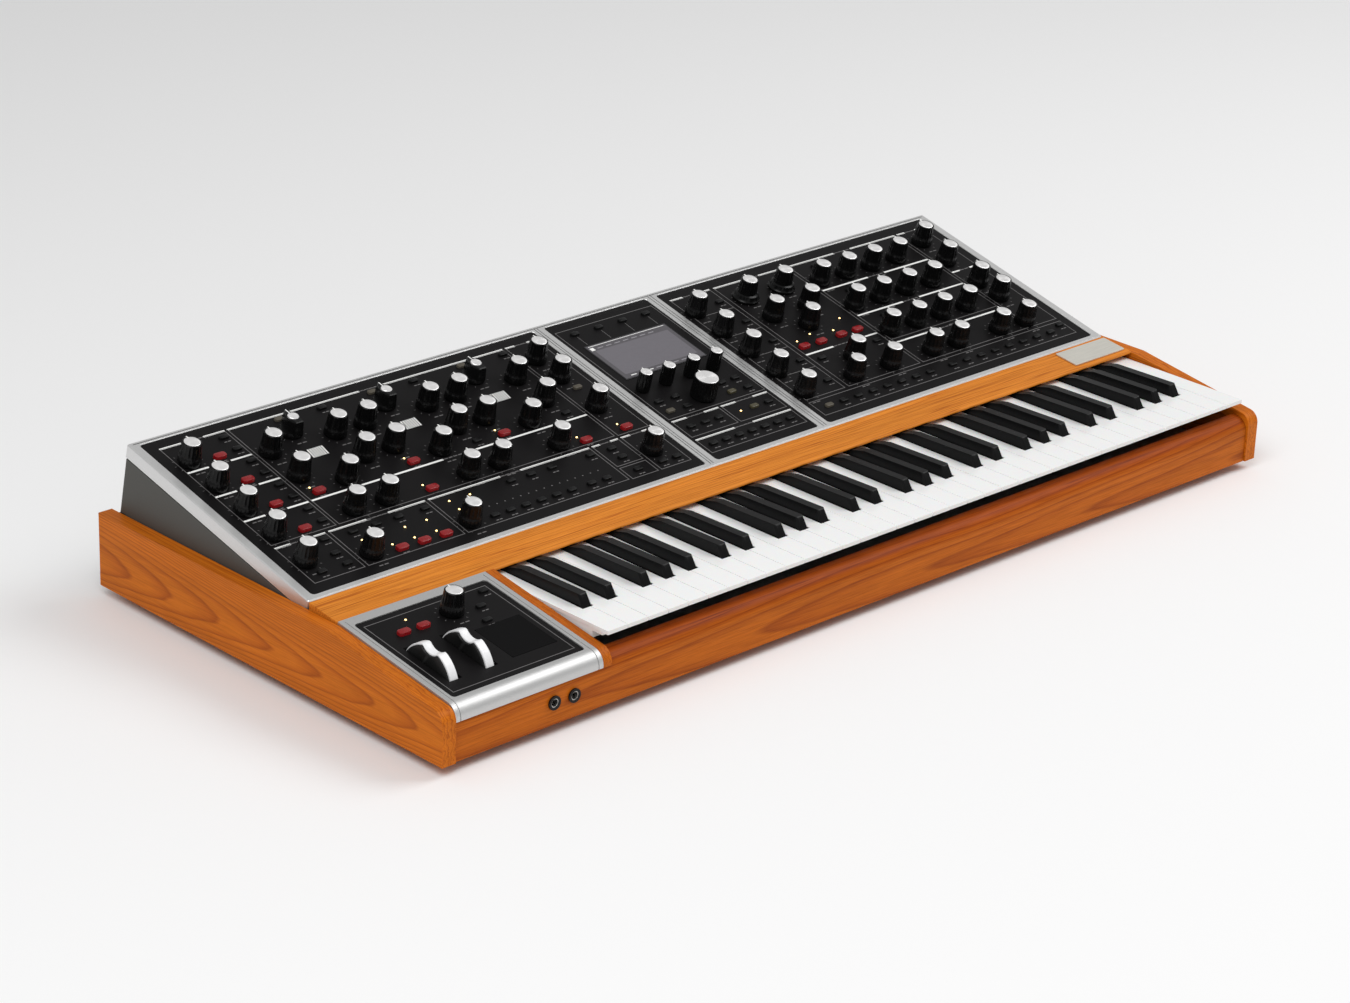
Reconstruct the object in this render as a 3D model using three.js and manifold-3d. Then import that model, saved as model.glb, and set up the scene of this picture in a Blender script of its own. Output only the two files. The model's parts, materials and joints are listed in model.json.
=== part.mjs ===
// Sixty-one-key analogue synthesizer: wooden end cheeks and front rail, a sloping control panel
// in an aluminium frame, and a left-hand panel with two performance wheels.
// Millimetres, +X to the player's right, +Y to the rear, +Z up.
// The origin is on the surface the feet stand on, under the middle of the case.
import * as THREE from 'three';
import { mergeVertices } from 'three/addons/utils/BufferGeometryUtils.js';
import Module from 'manifold-3d';

const wasm = await Module();
wasm.setup();

// ---------------------------------------------------------------- driving dimensions
const GAP = 0.3; // between pieces that rest on each other
const CASE = { halfWidth: 525, halfDepth: 234, floor: 10 };
const CHEEK = { thickness: 14.5, top: 79.8, kneeY: -86, noseRadius: 12 };
const INNER = CASE.halfWidth - CHEEK.thickness;

// Upper control panel: a plane rising to the rear from its front edge.
const UPPER = { frontY: -43.2, frontZ: 86.7, slope: THREE.MathUtils.degToRad(13.74), length: 260.8 };
const FRAME = { halfWidth: 509.8, depth: 14, flange: 4, wall: 1.8, corner: 2, chamfer: 1.1 };
const FRAME_LINE = { width: 1, depth: 0.9, inset: 4 }; // engraved lines on the dividers and along the rear
const PLATE = { recess: 0.8, thickness: 2, corner: 3.5, frontV: 6.5, rearV: 254.5, ledge: 2 };
const SEAT_CHAMFER = 0.5; // around the openings that hold the plates
const PLATE_SPANS = {
  left_panel: [-500.5, -42],
  centre_panel: [-27.3, 105.5],
  right_panel: [120, 500.5],
};
const DIVIDER_GROOVES = [-37.8, -34.6, 110.6, 114.2];

// Left-hand performance panel: a flatter plane that rolls over into a bullnose at the front.
const HAND = {
  rearY: -82,
  rearZ: 82,
  slope: THREE.MathUtils.degToRad(8.57),
  left: -510,
  right: -348.6,
  noseY: -233,
  noseRadius: 13,
  noseFoot: 46,
  skin: 5,
  length: 145.6,
  sideWall: 3,
  capLine: { inset: 4.6, width: 0.9, depth: 0.8 }, // the line that marks off each end of the rolled front
};
const HAND_PLATE = { left: -501.5, right: -357.5, front: 6.5, rear: 135, ledge: 2 };
const WHEEL = { radius: 31.6, width: 12, centreV: 56.8, drop: 16.1, axle: 3, slotGapU: 1, slotGapV: 2.5 };
const WHEEL_DIP = { radius: 14, depth: 5.5 };
const AXLE_END = 3;
const WHEEL_X = { pitch_wheel: -481.5, mod_wheel: -442.5 };
const PAD = { x: -393.5, v: 53.3, size: 49, sink: 0.7, corner: 2, flange: 2, depth: 7 };

// Keys.
const KEY = { left: -337.5, pitch: 23.5, clearance: 0.8, front: -225, rear: -56, top: 73.3, lip: 3.6 };
const KEY_BODY = { setback: 20, bottom: 60, inset: 0.6 };
const KEY_RIB = { inset: 0.6, setback: 7, depth: 6.4 }; // thicker part of the head, behind the front lip
const HEAD_END = -178.5;
const BLACK = { front: -177.7, rear: -46, base: 62, rearBase: 69, width: 11, topWidth: 9.2, sideGap: 0.8 };
const BLACK_TOP = { nose: 83.8, noseBack: 5.4, shoulder: 82.2, shoulderY: -98, tail: 74, tailY: -62 };
const BLACK_EDGE = { chamfer: 1.8, topRun: 1.5, topDrop: 1 };
const BLACK_SHIFT = { 1: -2.8, 2: 2.6, 4: -3.6, 5: 0, 6: 3.6 }; // from the line between two white keys
const WHITE_NAMES = ['c', 'd', 'e', 'f', 'g', 'a', 'b'];
const OCTAVES = 5;
const SINGLE_OCTAVE = 3; // its twelve keys are separate pieces
const WHITE_BAR = { rear: -58, front: -64, bottom: 60, top: 64, endInset: 2 };
const BLACK_BAR = { rear: -46, front: -52, bottom: 69, top: 73 };

// Wood behind, beside and below the keys.
const STRIP = { frontY: -81.5, bottom: 78.9, frontTop: 81.4, rearY: -44, rearTop: 86.4, chamfer: 1 };
const BLOCK = { left: -348.3, right: -339 };
const RAIL = { front: -232, back: -214, top: 55, radius: 14, handTop: 45.6 };
const JACK = { xs: [-403, -380.8], z: 30.6, ring: 6.2, proud: 1.5, barrel: 5.4, bore: 3.3, depth: 22 };
const JACK_BODY = { radius: 7.5, bottom: 3 };

// Under the keys and inside the case.
const FOOT = { x: 470, frontY: -180, rearY: 185, radius: 16, foot: 13, edge: 15, edgeHeight: 2 };
const KEYBED = { front: -209, rear: -43, sheet: 2, shelf: 20, frontTop: 46, rearTop: 58, endGap: 3 };
const BOARD = { thickness: 1.6, sink: 0.6, pillar: 3, pillarInset: 10 };
const MAIN_BOARD = { left: -340, right: 240, front: -20, rear: 160, z: 22 };
// Parts on the main board, as left, front, width, depth and height.
const CHIPS = [[60, 60, 30, 30, 3], [120, 70, 22, 14, 2.5], [160, 40, 14, 22, 2.5], [60, 120, 40, 12, 8]];
const VOICE = { count: 8, left: -300, pitch: 36, front: 60, width: 14, depth: 40, height: 4 };
const SUPPLY = { left: 280, right: 480, front: 20, rear: 150, top: 52, sheet: 1.5 };
const SUPPLY_VENT = { inset: 20, height: 3 };
const PANEL_BOARD = { left: -480, right: 480, front: 22, rear: 240, top: -20 };

// Rear wall and what is on it.
const REAR = { wallOuter: 224, wall: 2, top: 79.4, baseY: 223, leanY: 212, leanZ: 134 };
const SOCKET_PLATE = {
  left: -330,
  right: -130,
  bottom: 28,
  top: 62,
  thickness: 1.5,
  overlapX: 6,
  overlapZ: 4,
};
const SOCKET = { count: 4, bore: 3.3, barrel: 6, proud: 3, depth: 20, bottom: 2 };
const INLET = { x: 430, z: 45, width: 50, height: 30, flange: 2, bodyW: 29, bodyH: 24, back: 4 };
const INLET_RECESS = { width: 25, height: 20, depth: 15 };
const SWITCH = { x: 380, z: 45, width: 13, height: 21, tilt: THREE.MathUtils.degToRad(7) };
const ROCKER = { backDepth: 9, backInset: 3, proud: 4, waist: 2.5, sunk: 1 };
const REAR_OPENING_GAP = { inlet: 0.5, switchX: 1, switchZ: 1.5 };
const HOUSING = { sheet: 1.6, bottom: 66, frontY: -38, stepY: 215, sideInset: 0.4, openY: -60, openRise: 9 };

// Knobs, buttons and what is behind them, in panel coordinates (u across, v up the slope).
const SHAFT = { radius: 3, hole: 3.7, sides: 16, holeSides: 12 };
const KNOB = { baseRadius: 11.5, topRadius: 8.8, height: 22 };
const SKIRTED_KNOB = { baseRadius: 13.8, topRadius: 8.8, height: 22 };
const SOFT_KNOB = { baseRadius: 8.2, topRadius: 6.6, height: 20 };
const ENCODER = { baseRadius: 14.5, topRadius: 12.2, height: 21 };
const KNOB_EDGE = { foot: 2.5, waistShare: 0.25, waistHeight: 0.55, topDrop: 0.8, topRun: 0.7 };
const WAVE_SKIRT = { top: 10.5, height: 4 };
const WAVE_BAR = { bottom: 3, top: 17, capRadius: 5.4, capTop: 18 };
const WAVE_OUTLINE = [[-4.5, -12], [4.5, -12], [5.2, 0], [3.6, 8], [0, 14], [-3.6, 8], [-5.2, 0]];
const SOFT_KNOB_US = [-11.1, 18.8, 50.7, 80.8];
const SOFT_KNOB_V = 129;
const ENCODER_AT = [36.5, 95.4];
const WAVE_KNOB_AT = [-364.9, 213.8];
const CUTOFF_KNOB_AT = [204.5, 213];
const HAND_KNOB_AT = [-417, 109.1];
const RED_BUTTON_AT = [-399.2, 127.8];
const RED_BUTTON = { width: 12.4, height: 7, rise: 2.4, sunk: 5.5, corner: 2, gap: 0.5 };
const RED_STEM = { halfWidth: 4, halfDepth: 3, top: -7 };
const POT = { half: 6.5, top: -9.2, shaftFoot: -8.6 };
const DISPLAY = { left: -14, right: 92.5, front: 148.5, rear: 212, depth: 8, rim: 2, sink: 0.3 };
const BADGE = { left: 432, right: 506, front: -76, rear: -48.5, thickness: 1.2, corner: 1.5 };
const THROUGH = { below: -10, above: 5 }; // how far cutting tools reach past a plate

// ---------------------------------------------------------------- materials
function finish(color, roughness, metalness) {
  return new THREE.MeshStandardMaterial({ color, roughness, metalness });
}

const wood = finish('#b5651d', 0.45, 0);
const aluminium = finish('#c9cbce', 0.38, 0.9);
const housingPaint = finish('#4b4c49', 0.6, 0.3);
const steel = finish('#9a9c9f', 0.5, 0.8);
const panelBlack = finish('#1d1c1e', 0.55, 0.1);
const ivory = finish('#f2f1ec', 0.25, 0);
const ebony = finish('#121213', 0.4, 0);
const knobBlack = finish('#0f0f10', 0.35, 0);
const silver = finish('#dfe0e1', 0.35, 0.7);
const redLens = finish('#a3141c', 0.3, 0);
const glass = finish('#77767c', 0.15, 0);
const padBlack = finish('#151416', 0.7, 0);
const board = finish('#1f5a34', 0.6, 0);
const rubber = finish('#1b1b1b', 0.85, 0);
const nickel = finish('#b9b6ae', 0.3, 0.9);

// ---------------------------------------------------------------- shape helpers
const synthesizer = new THREE.Group();

function place(parent, name, geometry, material) {
  const mesh = new THREE.Mesh(geometry, material);
  mesh.name = name;
  parent.add(mesh);
  return mesh;
}

// A closed geometry with shared vertices, and without the flat triangles a lathe has at its axis.
function welded(geometry) {
  const bare = geometry.clone();
  bare.deleteAttribute('normal');
  bare.deleteAttribute('uv');
  const merged = mergeVertices(bare, 1e-4);
  const index = merged.index.array;
  const kept = [];
  for (let i = 0; i < index.length; i += 3) {
    const [a, b, c] = [index[i], index[i + 1], index[i + 2]];
    if (a !== b && b !== c && a !== c) kept.push(a, b, c);
  }
  merged.setIndex(kept);
  return merged;
}

function solid(geometry) {
  const closed = welded(geometry);
  return new wasm.Manifold(new wasm.Mesh({
    numProp: 3,
    vertProperties: new Float32Array(closed.attributes.position.array),
    triVerts: new Uint32Array(closed.index.array),
  }));
}

function geometryOf(manifold) {
  const mesh = manifold.getMesh();
  const geometry = new THREE.BufferGeometry();
  geometry.setAttribute('position', new THREE.BufferAttribute(mesh.vertProperties, 3));
  geometry.setIndex(new THREE.BufferAttribute(mesh.triVerts, 1));
  geometry.computeVertexNormals();
  return geometry;
}

function joined(geometries) {
  return geometries.map(solid).reduce((sum, next) => sum.add(next));
}

function cut(body, tools) {
  return tools.map(solid).reduce((rest, tool) => rest.subtract(tool), solid(body));
}

function box(x0, x1, y0, y1, z0, z1) {
  const geometry = new THREE.BoxGeometry(x1 - x0, y1 - y0, z1 - z0);
  return geometry.translate((x0 + x1) / 2, (y0 + y1) / 2, (z0 + z1) / 2);
}

function polygon(points) {
  return new THREE.Shape(points.map(([a, b]) => new THREE.Vector2(a, b)));
}

function roundedRect(u0, u1, v0, v1, r) {
  const shape = new THREE.Shape();
  shape.absarc(u1 - r, v1 - r, r, 0, Math.PI / 2);
  shape.absarc(u0 + r, v1 - r, r, Math.PI / 2, Math.PI);
  shape.absarc(u0 + r, v0 + r, r, Math.PI, Math.PI * 1.5);
  shape.absarc(u1 - r, v0 + r, r, Math.PI * 1.5, Math.PI * 2);
  return shape;
}

// A shape drawn in (x, y) raised from z0 to z1.
function raised(shape, z0, z1, curveSegments = 3) {
  const geometry = new THREE.ExtrudeGeometry(shape, { depth: z1 - z0, bevelEnabled: false, curveSegments });
  return geometry.translate(0, 0, z0);
}

// The same, with the edges of both ends bevelled; outward says whether the middle is the larger part.
function bevelled(shape, z0, z1, size, outward = false) {
  const geometry = new THREE.ExtrudeGeometry(shape, {
    depth: z1 - z0 - 2 * size,
    bevelThickness: size,
    bevelSize: size,
    bevelOffset: outward ? 0 : -size,
    bevelSegments: 1,
    curveSegments: 3,
  });
  return geometry.translate(0, 0, z0 + size);
}

// A side outline drawn in (y, z) drawn out from x0 to x1.
function drawnOut(shape, x0, x1, curveSegments = 6) {
  const geometry = new THREE.ExtrudeGeometry(shape, { depth: x1 - x0, bevelEnabled: false, curveSegments });
  const [x, y, z] = [[1, 0, 0], [0, 1, 0], [0, 0, 1]].map((v) => new THREE.Vector3(...v));
  geometry.applyMatrix4(new THREE.Matrix4().makeBasis(y, z, x));
  return geometry.translate(x0, 0, 0);
}

// A body of revolution about +Z from (radius, height) points.
function turned(points, sides) {
  const profile = points.map(([r, z]) => new THREE.Vector2(r, z));
  return new THREE.LatheGeometry(profile, sides).rotateX(Math.PI / 2);
}

function rod(radius, z0, z1, sides) {
  return turned([[0, z0], [radius, z0], [radius, z1], [0, z1]], sides);
}

// ---------------------------------------------------------------- wooden case
// Side outline whose top slopes down at the hand panel's angle and rolls over to a vertical nose.
function nosedOutline({ rearY, rearZ, kneeY, noseY, radius, bottom }) {
  const tan = Math.tan(HAND.slope);
  const centreY = noseY + radius;
  const centreZ = rearZ + (centreY - kneeY) * tan - radius / Math.cos(HAND.slope);
  const shape = new THREE.Shape();
  shape.moveTo(noseY, bottom);
  shape.lineTo(rearY, bottom);
  shape.lineTo(rearY, rearZ);
  if (kneeY < rearY) shape.lineTo(kneeY, rearZ);
  shape.absarc(centreY, centreZ, radius, Math.PI / 2 + HAND.slope, Math.PI);
  return shape;
}

function addCheeks() {
  const outline = nosedOutline({
    rearY: CASE.halfDepth,
    rearZ: CHEEK.top,
    kneeY: CHEEK.kneeY,
    noseY: -CASE.halfDepth,
    radius: CHEEK.noseRadius,
    bottom: CASE.floor,
  });
  place(synthesizer, 'left_cheek', drawnOut(outline, -CASE.halfWidth, -INNER), wood);
  place(synthesizer, 'right_cheek', drawnOut(outline, INNER, CASE.halfWidth), wood);
}

function addFrontRail() {
  const outline = new THREE.Shape();
  outline.moveTo(RAIL.front, CASE.floor);
  outline.lineTo(RAIL.back, CASE.floor);
  outline.lineTo(RAIL.back, RAIL.top);
  outline.absarc(RAIL.front + RAIL.radius, RAIL.top - RAIL.radius, RAIL.radius, Math.PI / 2, Math.PI);
  const end = INNER - GAP;
  const handStep = box(-end - 1, BLOCK.right, RAIL.front - 1, RAIL.back + 1, RAIL.handTop, RAIL.top + 1);
  const holes = JACK.xs.map((x) => {
    const hole = rod(JACK.barrel + GAP, RAIL.front - 5, RAIL.back + 5, 16);
    return hole.rotateX(-Math.PI / 2).translate(x, 0, JACK.z);
  });
  place(synthesizer, 'front_rail', geometryOf(cut(drawnOut(outline, -end, end), [handStep, ...holes])), wood);
}

function addKeyStripAndBlock() {
  const strip = polygon([
    [STRIP.frontY, STRIP.bottom],
    [STRIP.rearY, STRIP.bottom],
    [STRIP.rearY, STRIP.rearTop],
    [STRIP.frontY + STRIP.chamfer, STRIP.frontTop],
    [STRIP.frontY, STRIP.frontTop - STRIP.chamfer],
  ]);
  place(synthesizer, 'key_strip', drawnOut(strip, -INNER + GAP, INNER - GAP), wood);
  const block = nosedOutline({
    rearY: HAND.rearY,
    rearZ: HAND.rearZ,
    kneeY: HAND.rearY,
    noseY: HAND.noseY,
    radius: HAND.noseRadius,
    bottom: RAIL.handTop + GAP,
  });
  place(synthesizer, 'key_block', drawnOut(block, BLOCK.left, BLOCK.right), wood);
}

// ---------------------------------------------------------------- lower metalwork
function addBasePan() {
  const outline = polygon([
    [RAIL.back + GAP, CASE.floor],
    [REAR.wallOuter, CASE.floor],
    [REAR.wallOuter, REAR.top],
    [REAR.wallOuter - REAR.wall, REAR.top],
    [REAR.wallOuter - REAR.wall, CASE.floor + REAR.wall],
    [RAIL.back + GAP, CASE.floor + REAR.wall],
  ]);
  const wallInner = REAR.wallOuter - REAR.wall;
  const rearOpening = (x0, x1, z0, z1) => box(x0, x1, wallInner - 1, REAR.wallOuter + 1, z0, z1);
  const around = ({ x, z }, halfX, halfZ) => rearOpening(x - halfX, x + halfX, z - halfZ, z + halfZ);
  const { left, right, bottom, top, overlapX, overlapZ } = SOCKET_PLATE;
  const { inlet, switchX, switchZ } = REAR_OPENING_GAP;
  const openings = [
    rearOpening(left + overlapX, right - overlapX, bottom + overlapZ, top - overlapZ),
    around(INLET, INLET.bodyW / 2 + inlet, INLET.bodyH / 2 + inlet),
    around(SWITCH, SWITCH.width / 2 + switchX, SWITCH.height / 2 + switchZ),
  ];
  const end = INNER - GAP;
  place(synthesizer, 'base_pan', geometryOf(cut(drawnOut(outline, -end, end), openings)), steel);
}

function addFeet() {
  const { x, frontY, rearY, radius, foot, edge, edgeHeight } = FOOT;
  const top = CASE.floor - GAP;
  const shape = turned([[0, 0], [foot, 0], [edge, edgeHeight], [radius, top], [0, top]], 16);
  const spots = {
    foot_front_left: [-x, frontY],
    foot_front_right: [x, frontY],
    foot_rear_left: [-x, rearY],
    foot_rear_right: [x, rearY],
  };
  for (const [name, [footX, footY]] of Object.entries(spots)) {
    place(synthesizer, name, shape.clone(), rubber).position.set(footX, footY, 0);
  }
}

// A bent sheet: a shelf on two legs, with an upright at the front and a taller one at the rear.
function addKeybed() {
  const { front, rear, sheet, shelf, frontTop, rearTop, endGap } = KEYBED;
  const floor = CASE.floor + REAR.wall + GAP;
  const outline = polygon([
    [front, floor],
    [front + sheet, floor],
    [front + sheet, shelf],
    [rear - sheet, shelf],
    [rear - sheet, floor],
    [rear, floor],
    [rear, rearTop],
    [rear - sheet, rearTop],
    [rear - sheet, shelf + sheet],
    [front + sheet, shelf + sheet],
    [front + sheet, frontTop],
    [front, frontTop],
  ]);
  place(synthesizer, 'keybed', drawnOut(outline, KEY.left, INNER - endGap), steel);
}

// A circuit board with its parts and the pillars it stands on.
function addMainBoard() {
  const { left, right, front, rear, z } = MAIN_BOARD;
  const top = z + BOARD.thickness;
  const chips = [...CHIPS];
  for (let n = 0; n < VOICE.count; n += 1) {
    chips.push([VOICE.left + n * VOICE.pitch, VOICE.front, VOICE.width, VOICE.depth, VOICE.height]);
  }
  const parts = [box(left, right, front, rear, z, top)];
  for (const [x, y, w, d, h] of chips) parts.push(box(x, x + w, y, y + d, top - BOARD.sink, top + h));
  const foot = CASE.floor + REAR.wall + GAP;
  for (const x of [left + BOARD.pillarInset, right - BOARD.pillarInset]) {
    for (const y of [front + BOARD.pillarInset, rear - BOARD.pillarInset]) {
      parts.push(rod(BOARD.pillar, foot, top - BOARD.sink, 8).translate(x, y, 0));
    }
  }
  place(synthesizer, 'main_board', geometryOf(joined(parts)), board);
}

// A folded cover over the supply, open underneath, with a raised vent.
function addPowerSupply() {
  const { left, right, front, rear, top, sheet } = SUPPLY;
  const { inset, height } = SUPPLY_VENT;
  const floor = CASE.floor + REAR.wall + GAP;
  const cover = (inner) => joined([
    box(left + inner, right - inner, front + inner, rear - inner, floor - inner, top - inner),
    box(
      left + inset + inner,
      right - inset - inner,
      front + inset + inner,
      rear - inset - inner,
      floor - inner,
      top + height - inner,
    ),
  ]);
  place(synthesizer, 'power_supply', geometryOf(cover(0).subtract(cover(sheet))), steel);
}

// ---------------------------------------------------------------- rear connectors
const plateY = REAR.wallOuter + GAP; // inner face of everything screwed to the rear wall

function addSocketPlate() {
  const { left, right, bottom, top, thickness } = SOCKET_PLATE;
  const plate = box(left, right, plateY, plateY + thickness, bottom, top);
  const spread = (right - left) / (SOCKET.count + 1);
  const barrels = [];
  const bores = [];
  for (let n = 1; n <= SOCKET.count; n += 1) {
    const x = left + n * spread;
    const facing = (geometry) => geometry.rotateX(-Math.PI / 2).translate(x, 0, (bottom + top) / 2);
    const back = plateY - SOCKET.depth;
    barrels.push(facing(rod(SOCKET.barrel, back - SOCKET.bottom, plateY + SOCKET.proud, 14)));
    bores.push(facing(rod(SOCKET.bore, back, plateY + SOCKET.proud + 1, 12)));
  }
  const sockets = bores.map(solid).reduce((rest, bore) => rest.subtract(bore), joined([plate, ...barrels]));
  place(synthesizer, 'socket_plate', geometryOf(sockets), steel);
}

function addPowerInlet() {
  const { x, z, width, height, flange, bodyW, bodyH, back } = INLET;
  const recess = INLET_RECESS;
  const centred = (w, h, y0, y1) => box(x - w / 2, x + w / 2, y0, y1, z - h / 2, z + h / 2);
  const inlet = joined([
    centred(width, height, plateY, plateY + flange),
    centred(bodyW, bodyH, plateY - recess.depth - back, plateY + flange / 2),
  ]);
  const hollow = centred(recess.width, recess.height, plateY - recess.depth, plateY + flange + 1);
  place(synthesizer, 'power_inlet', geometryOf(inlet.subtract(solid(hollow))), knobBlack);
}

function addPowerSwitch() {
  const half = SWITCH.height / 2;
  const { backDepth, backInset, proud, waist, sunk } = ROCKER;
  const rocker = polygon([
    [-backDepth, -half + backInset],
    [0, -half],
    [proud, -half],
    [waist, 0],
    [proud, half],
    [0, half],
    [-backDepth, half - backInset],
  ]);
  const pivot = new THREE.Group();
  pivot.position.set(0, REAR.wallOuter - sunk, SWITCH.z);
  pivot.rotation.x = SWITCH.tilt;
  const [left, right] = [SWITCH.x - SWITCH.width / 2, SWITCH.x + SWITCH.width / 2];
  place(pivot, 'power_switch', drawnOut(rocker, left, right), knobBlack);
  synthesizer.add(pivot);
}

function addHeadphoneJacks() {
  const { ring, proud, barrel, bore, depth } = JACK;
  const [mouth, inside] = [RAIL.front, RAIL.back + GAP];
  const bodyRear = mouth + depth + JACK_BODY.bottom;
  const outline = [
    [0, mouth + depth],
    [bore, mouth + depth],
    [bore, mouth - proud],
    [ring, mouth - proud],
    [ring, mouth - GAP],
    [barrel, mouth - GAP],
    [barrel, inside],
    [JACK_BODY.radius, inside],
    [JACK_BODY.radius, bodyRear],
    [0, bodyRear],
  ];
  const jack = turned(outline, 16).rotateX(-Math.PI / 2);
  const names = ['headphone_jack_left', 'headphone_jack_right'];
  JACK.xs.forEach((x, i) => {
    place(synthesizer, names[i], jack.clone(), nickel).position.set(x, 0, JACK.z);
  });
}

// ---------------------------------------------------------------- upper housing and panel
const upper = new THREE.Group();
upper.position.set(0, UPPER.frontY, UPPER.frontZ);
upper.rotation.x = UPPER.slope;
synthesizer.add(upper);

function addHousing() {
  const { sheet, bottom, frontY, stepY, sideInset, openY, openRise } = HOUSING;
  const side = FRAME.halfWidth - sideInset;
  const tan = Math.tan(UPPER.slope);
  const under = (FRAME.depth + GAP) / Math.cos(UPPER.slope);
  const topAt = (y) => UPPER.frontZ + (y - UPPER.frontY) * tan - under;
  const lean = (REAR.leanY - REAR.baseY) / (REAR.leanZ - CHEEK.top);
  const rearTop = topAt(REAR.leanY);
  const backAt = (z, inset) => REAR.baseY - inset + (z - CHEEK.top) * lean;
  const wallTop = REAR.top + GAP;
  const outer = polygon([
    [frontY, bottom],
    [stepY, bottom],
    [stepY, wallTop],
    [backAt(wallTop, 0), wallTop],
    [backAt(rearTop, 0), rearTop],
    [frontY, topAt(frontY)],
  ]);
  const inner = polygon([
    [openY, bottom - 5],
    [backAt(bottom - 5, sheet), bottom - 5],
    [backAt(rearTop + openRise, sheet), rearTop + openRise],
    [openY, rearTop + openRise],
  ]);
  const shell = cut(drawnOut(outer, -side, side), [drawnOut(inner, -side + sheet, side - sheet)]);
  place(synthesizer, 'housing', geometryOf(shell), housingPaint);
}

function addPanelFrame() {
  const { halfWidth, depth, flange, wall, corner, chamfer } = FRAME;
  const outer = bevelled(roundedRect(-halfWidth, halfWidth, 0, UPPER.length, corner), -depth, 0, chamfer);
  const hollow = box(-halfWidth + wall, halfWidth - wall, wall, UPPER.length - wall, -depth - 1, -flange);
  const cuts = [hollow];
  for (const [u0, u1] of Object.values(PLATE_SPANS)) {
    const [v0, v1] = [PLATE.frontV, PLATE.rearV];
    const seat = roundedRect(u0 - GAP, u1 + GAP, v0 - GAP, v1 + GAP, PLATE.corner);
    cuts.push(raised(seat, -PLATE.recess - PLATE.thickness - GAP, 1));
    cuts.push(bevelled(seat, -SEAT_CHAMFER, 2, SEAT_CHAMFER, true));
    const through = [u0 + PLATE.ledge, u1 - PLATE.ledge, v0 + PLATE.ledge, v1 - PLATE.ledge];
    cuts.push(box(...through, -flange - 1, 1));
  }
  const { width, inset } = FRAME_LINE;
  const line = (u0, u1, v0, v1) => box(u0, u1, v0, v1, -FRAME_LINE.depth, 1);
  const rearLine = UPPER.length - inset;
  for (const u of DIVIDER_GROOVES) cuts.push(line(u - width / 2, u + width / 2, inset, rearLine));
  cuts.push(line(-halfWidth + inset, halfWidth - inset, rearLine, rearLine + width));
  place(upper, 'panel_frame', geometryOf(cut(outer, cuts)), aluminium);
}

function shaftHole([u, v]) {
  return rod(SHAFT.hole, THROUGH.below, THROUGH.above, SHAFT.holeSides).translate(u, v, 0);
}

function addPlates() {
  const low = -PLATE.recess - PLATE.thickness;
  const plate = (name) => {
    const [u0, u1] = PLATE_SPANS[name];
    return raised(roundedRect(u0, u1, PLATE.frontV, PLATE.rearV, PLATE.corner), low, -PLATE.recess);
  };
  const [bu, bv] = RED_BUTTON_AT;
  const halfW = RED_BUTTON.width / 2 + RED_BUTTON.gap;
  const halfH = RED_BUTTON.height / 2 + RED_BUTTON.gap;
  const buttonOutline = roundedRect(bu - halfW, bu + halfW, bv - halfH, bv + halfH, RED_BUTTON.corner);
  const buttonHole = raised(buttonOutline, THROUGH.below, THROUGH.above);
  const softHoles = SOFT_KNOB_US.map((u) => shaftHole([u, SOFT_KNOB_V]));
  const window = box(DISPLAY.left, DISPLAY.right, DISPLAY.front, DISPLAY.rear, THROUGH.below, THROUGH.above);
  const cuts = {
    left_panel: [shaftHole(WAVE_KNOB_AT), buttonHole],
    centre_panel: [...softHoles, shaftHole(ENCODER_AT), window],
    right_panel: [shaftHole(CUTOFF_KNOB_AT)],
  };
  for (const [name, tools] of Object.entries(cuts)) {
    place(upper, name, geometryOf(cut(plate(name), tools)), panelBlack);
  }
}

function addDisplay() {
  const { left, right, front, rear, depth, rim, sink } = DISPLAY;
  const under = -PLATE.recess - PLATE.thickness - GAP;
  const module = joined([
    box(left - rim, right + rim, front - rim, rear + rim, under - depth, under),
    box(left + GAP, right - GAP, front + GAP, rear - GAP, under - 1, -sink),
  ]);
  place(upper, 'display', geometryOf(module), glass);
}

// Circuit board behind the panels, with a potentiometer under each shaft.
function addPanelBoard() {
  const { left, right, front, rear, top } = PANEL_BOARD;
  const parts = [box(left, right, front, rear, top - BOARD.thickness, top)];
  const stand = ([u, v], halfU, halfV, height) => {
    return box(u - halfU, u + halfU, v - halfV, v + halfV, top - 1, height);
  };
  const spots = [WAVE_KNOB_AT, CUTOFF_KNOB_AT, ENCODER_AT, ...SOFT_KNOB_US.map((u) => [u, SOFT_KNOB_V])];
  for (const spot of spots) parts.push(stand(spot, POT.half, POT.half, POT.top));
  parts.push(stand(RED_BUTTON_AT, RED_STEM.halfWidth, RED_STEM.halfDepth, RED_STEM.top));
  place(upper, 'panel_board', geometryOf(joined(parts)), board);
}

// ---------------------------------------------------------------- knobs and buttons
// Outline of a shaft and the foot of the knob on it, up to the panel's face.
function shaftOutline(base) {
  return [[0, POT.shaftFoot], [SHAFT.radius, POT.shaftFoot], [SHAFT.radius, 0], [base, 0]];
}

function addKnob(parent, name, [u, v], { baseRadius, topRadius, height }) {
  const { foot, waistShare, waistHeight, topDrop, topRun } = KNOB_EDGE;
  const outline = [
    ...shaftOutline(baseRadius),
    [baseRadius, foot],
    [topRadius + (baseRadius - topRadius) * waistShare, height * waistHeight],
    [topRadius, height - topDrop],
    [topRadius - topRun, height],
    [0, height],
  ];
  place(parent, name, turned(outline, SHAFT.sides), knobBlack).position.set(u, v, 0);
}

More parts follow.
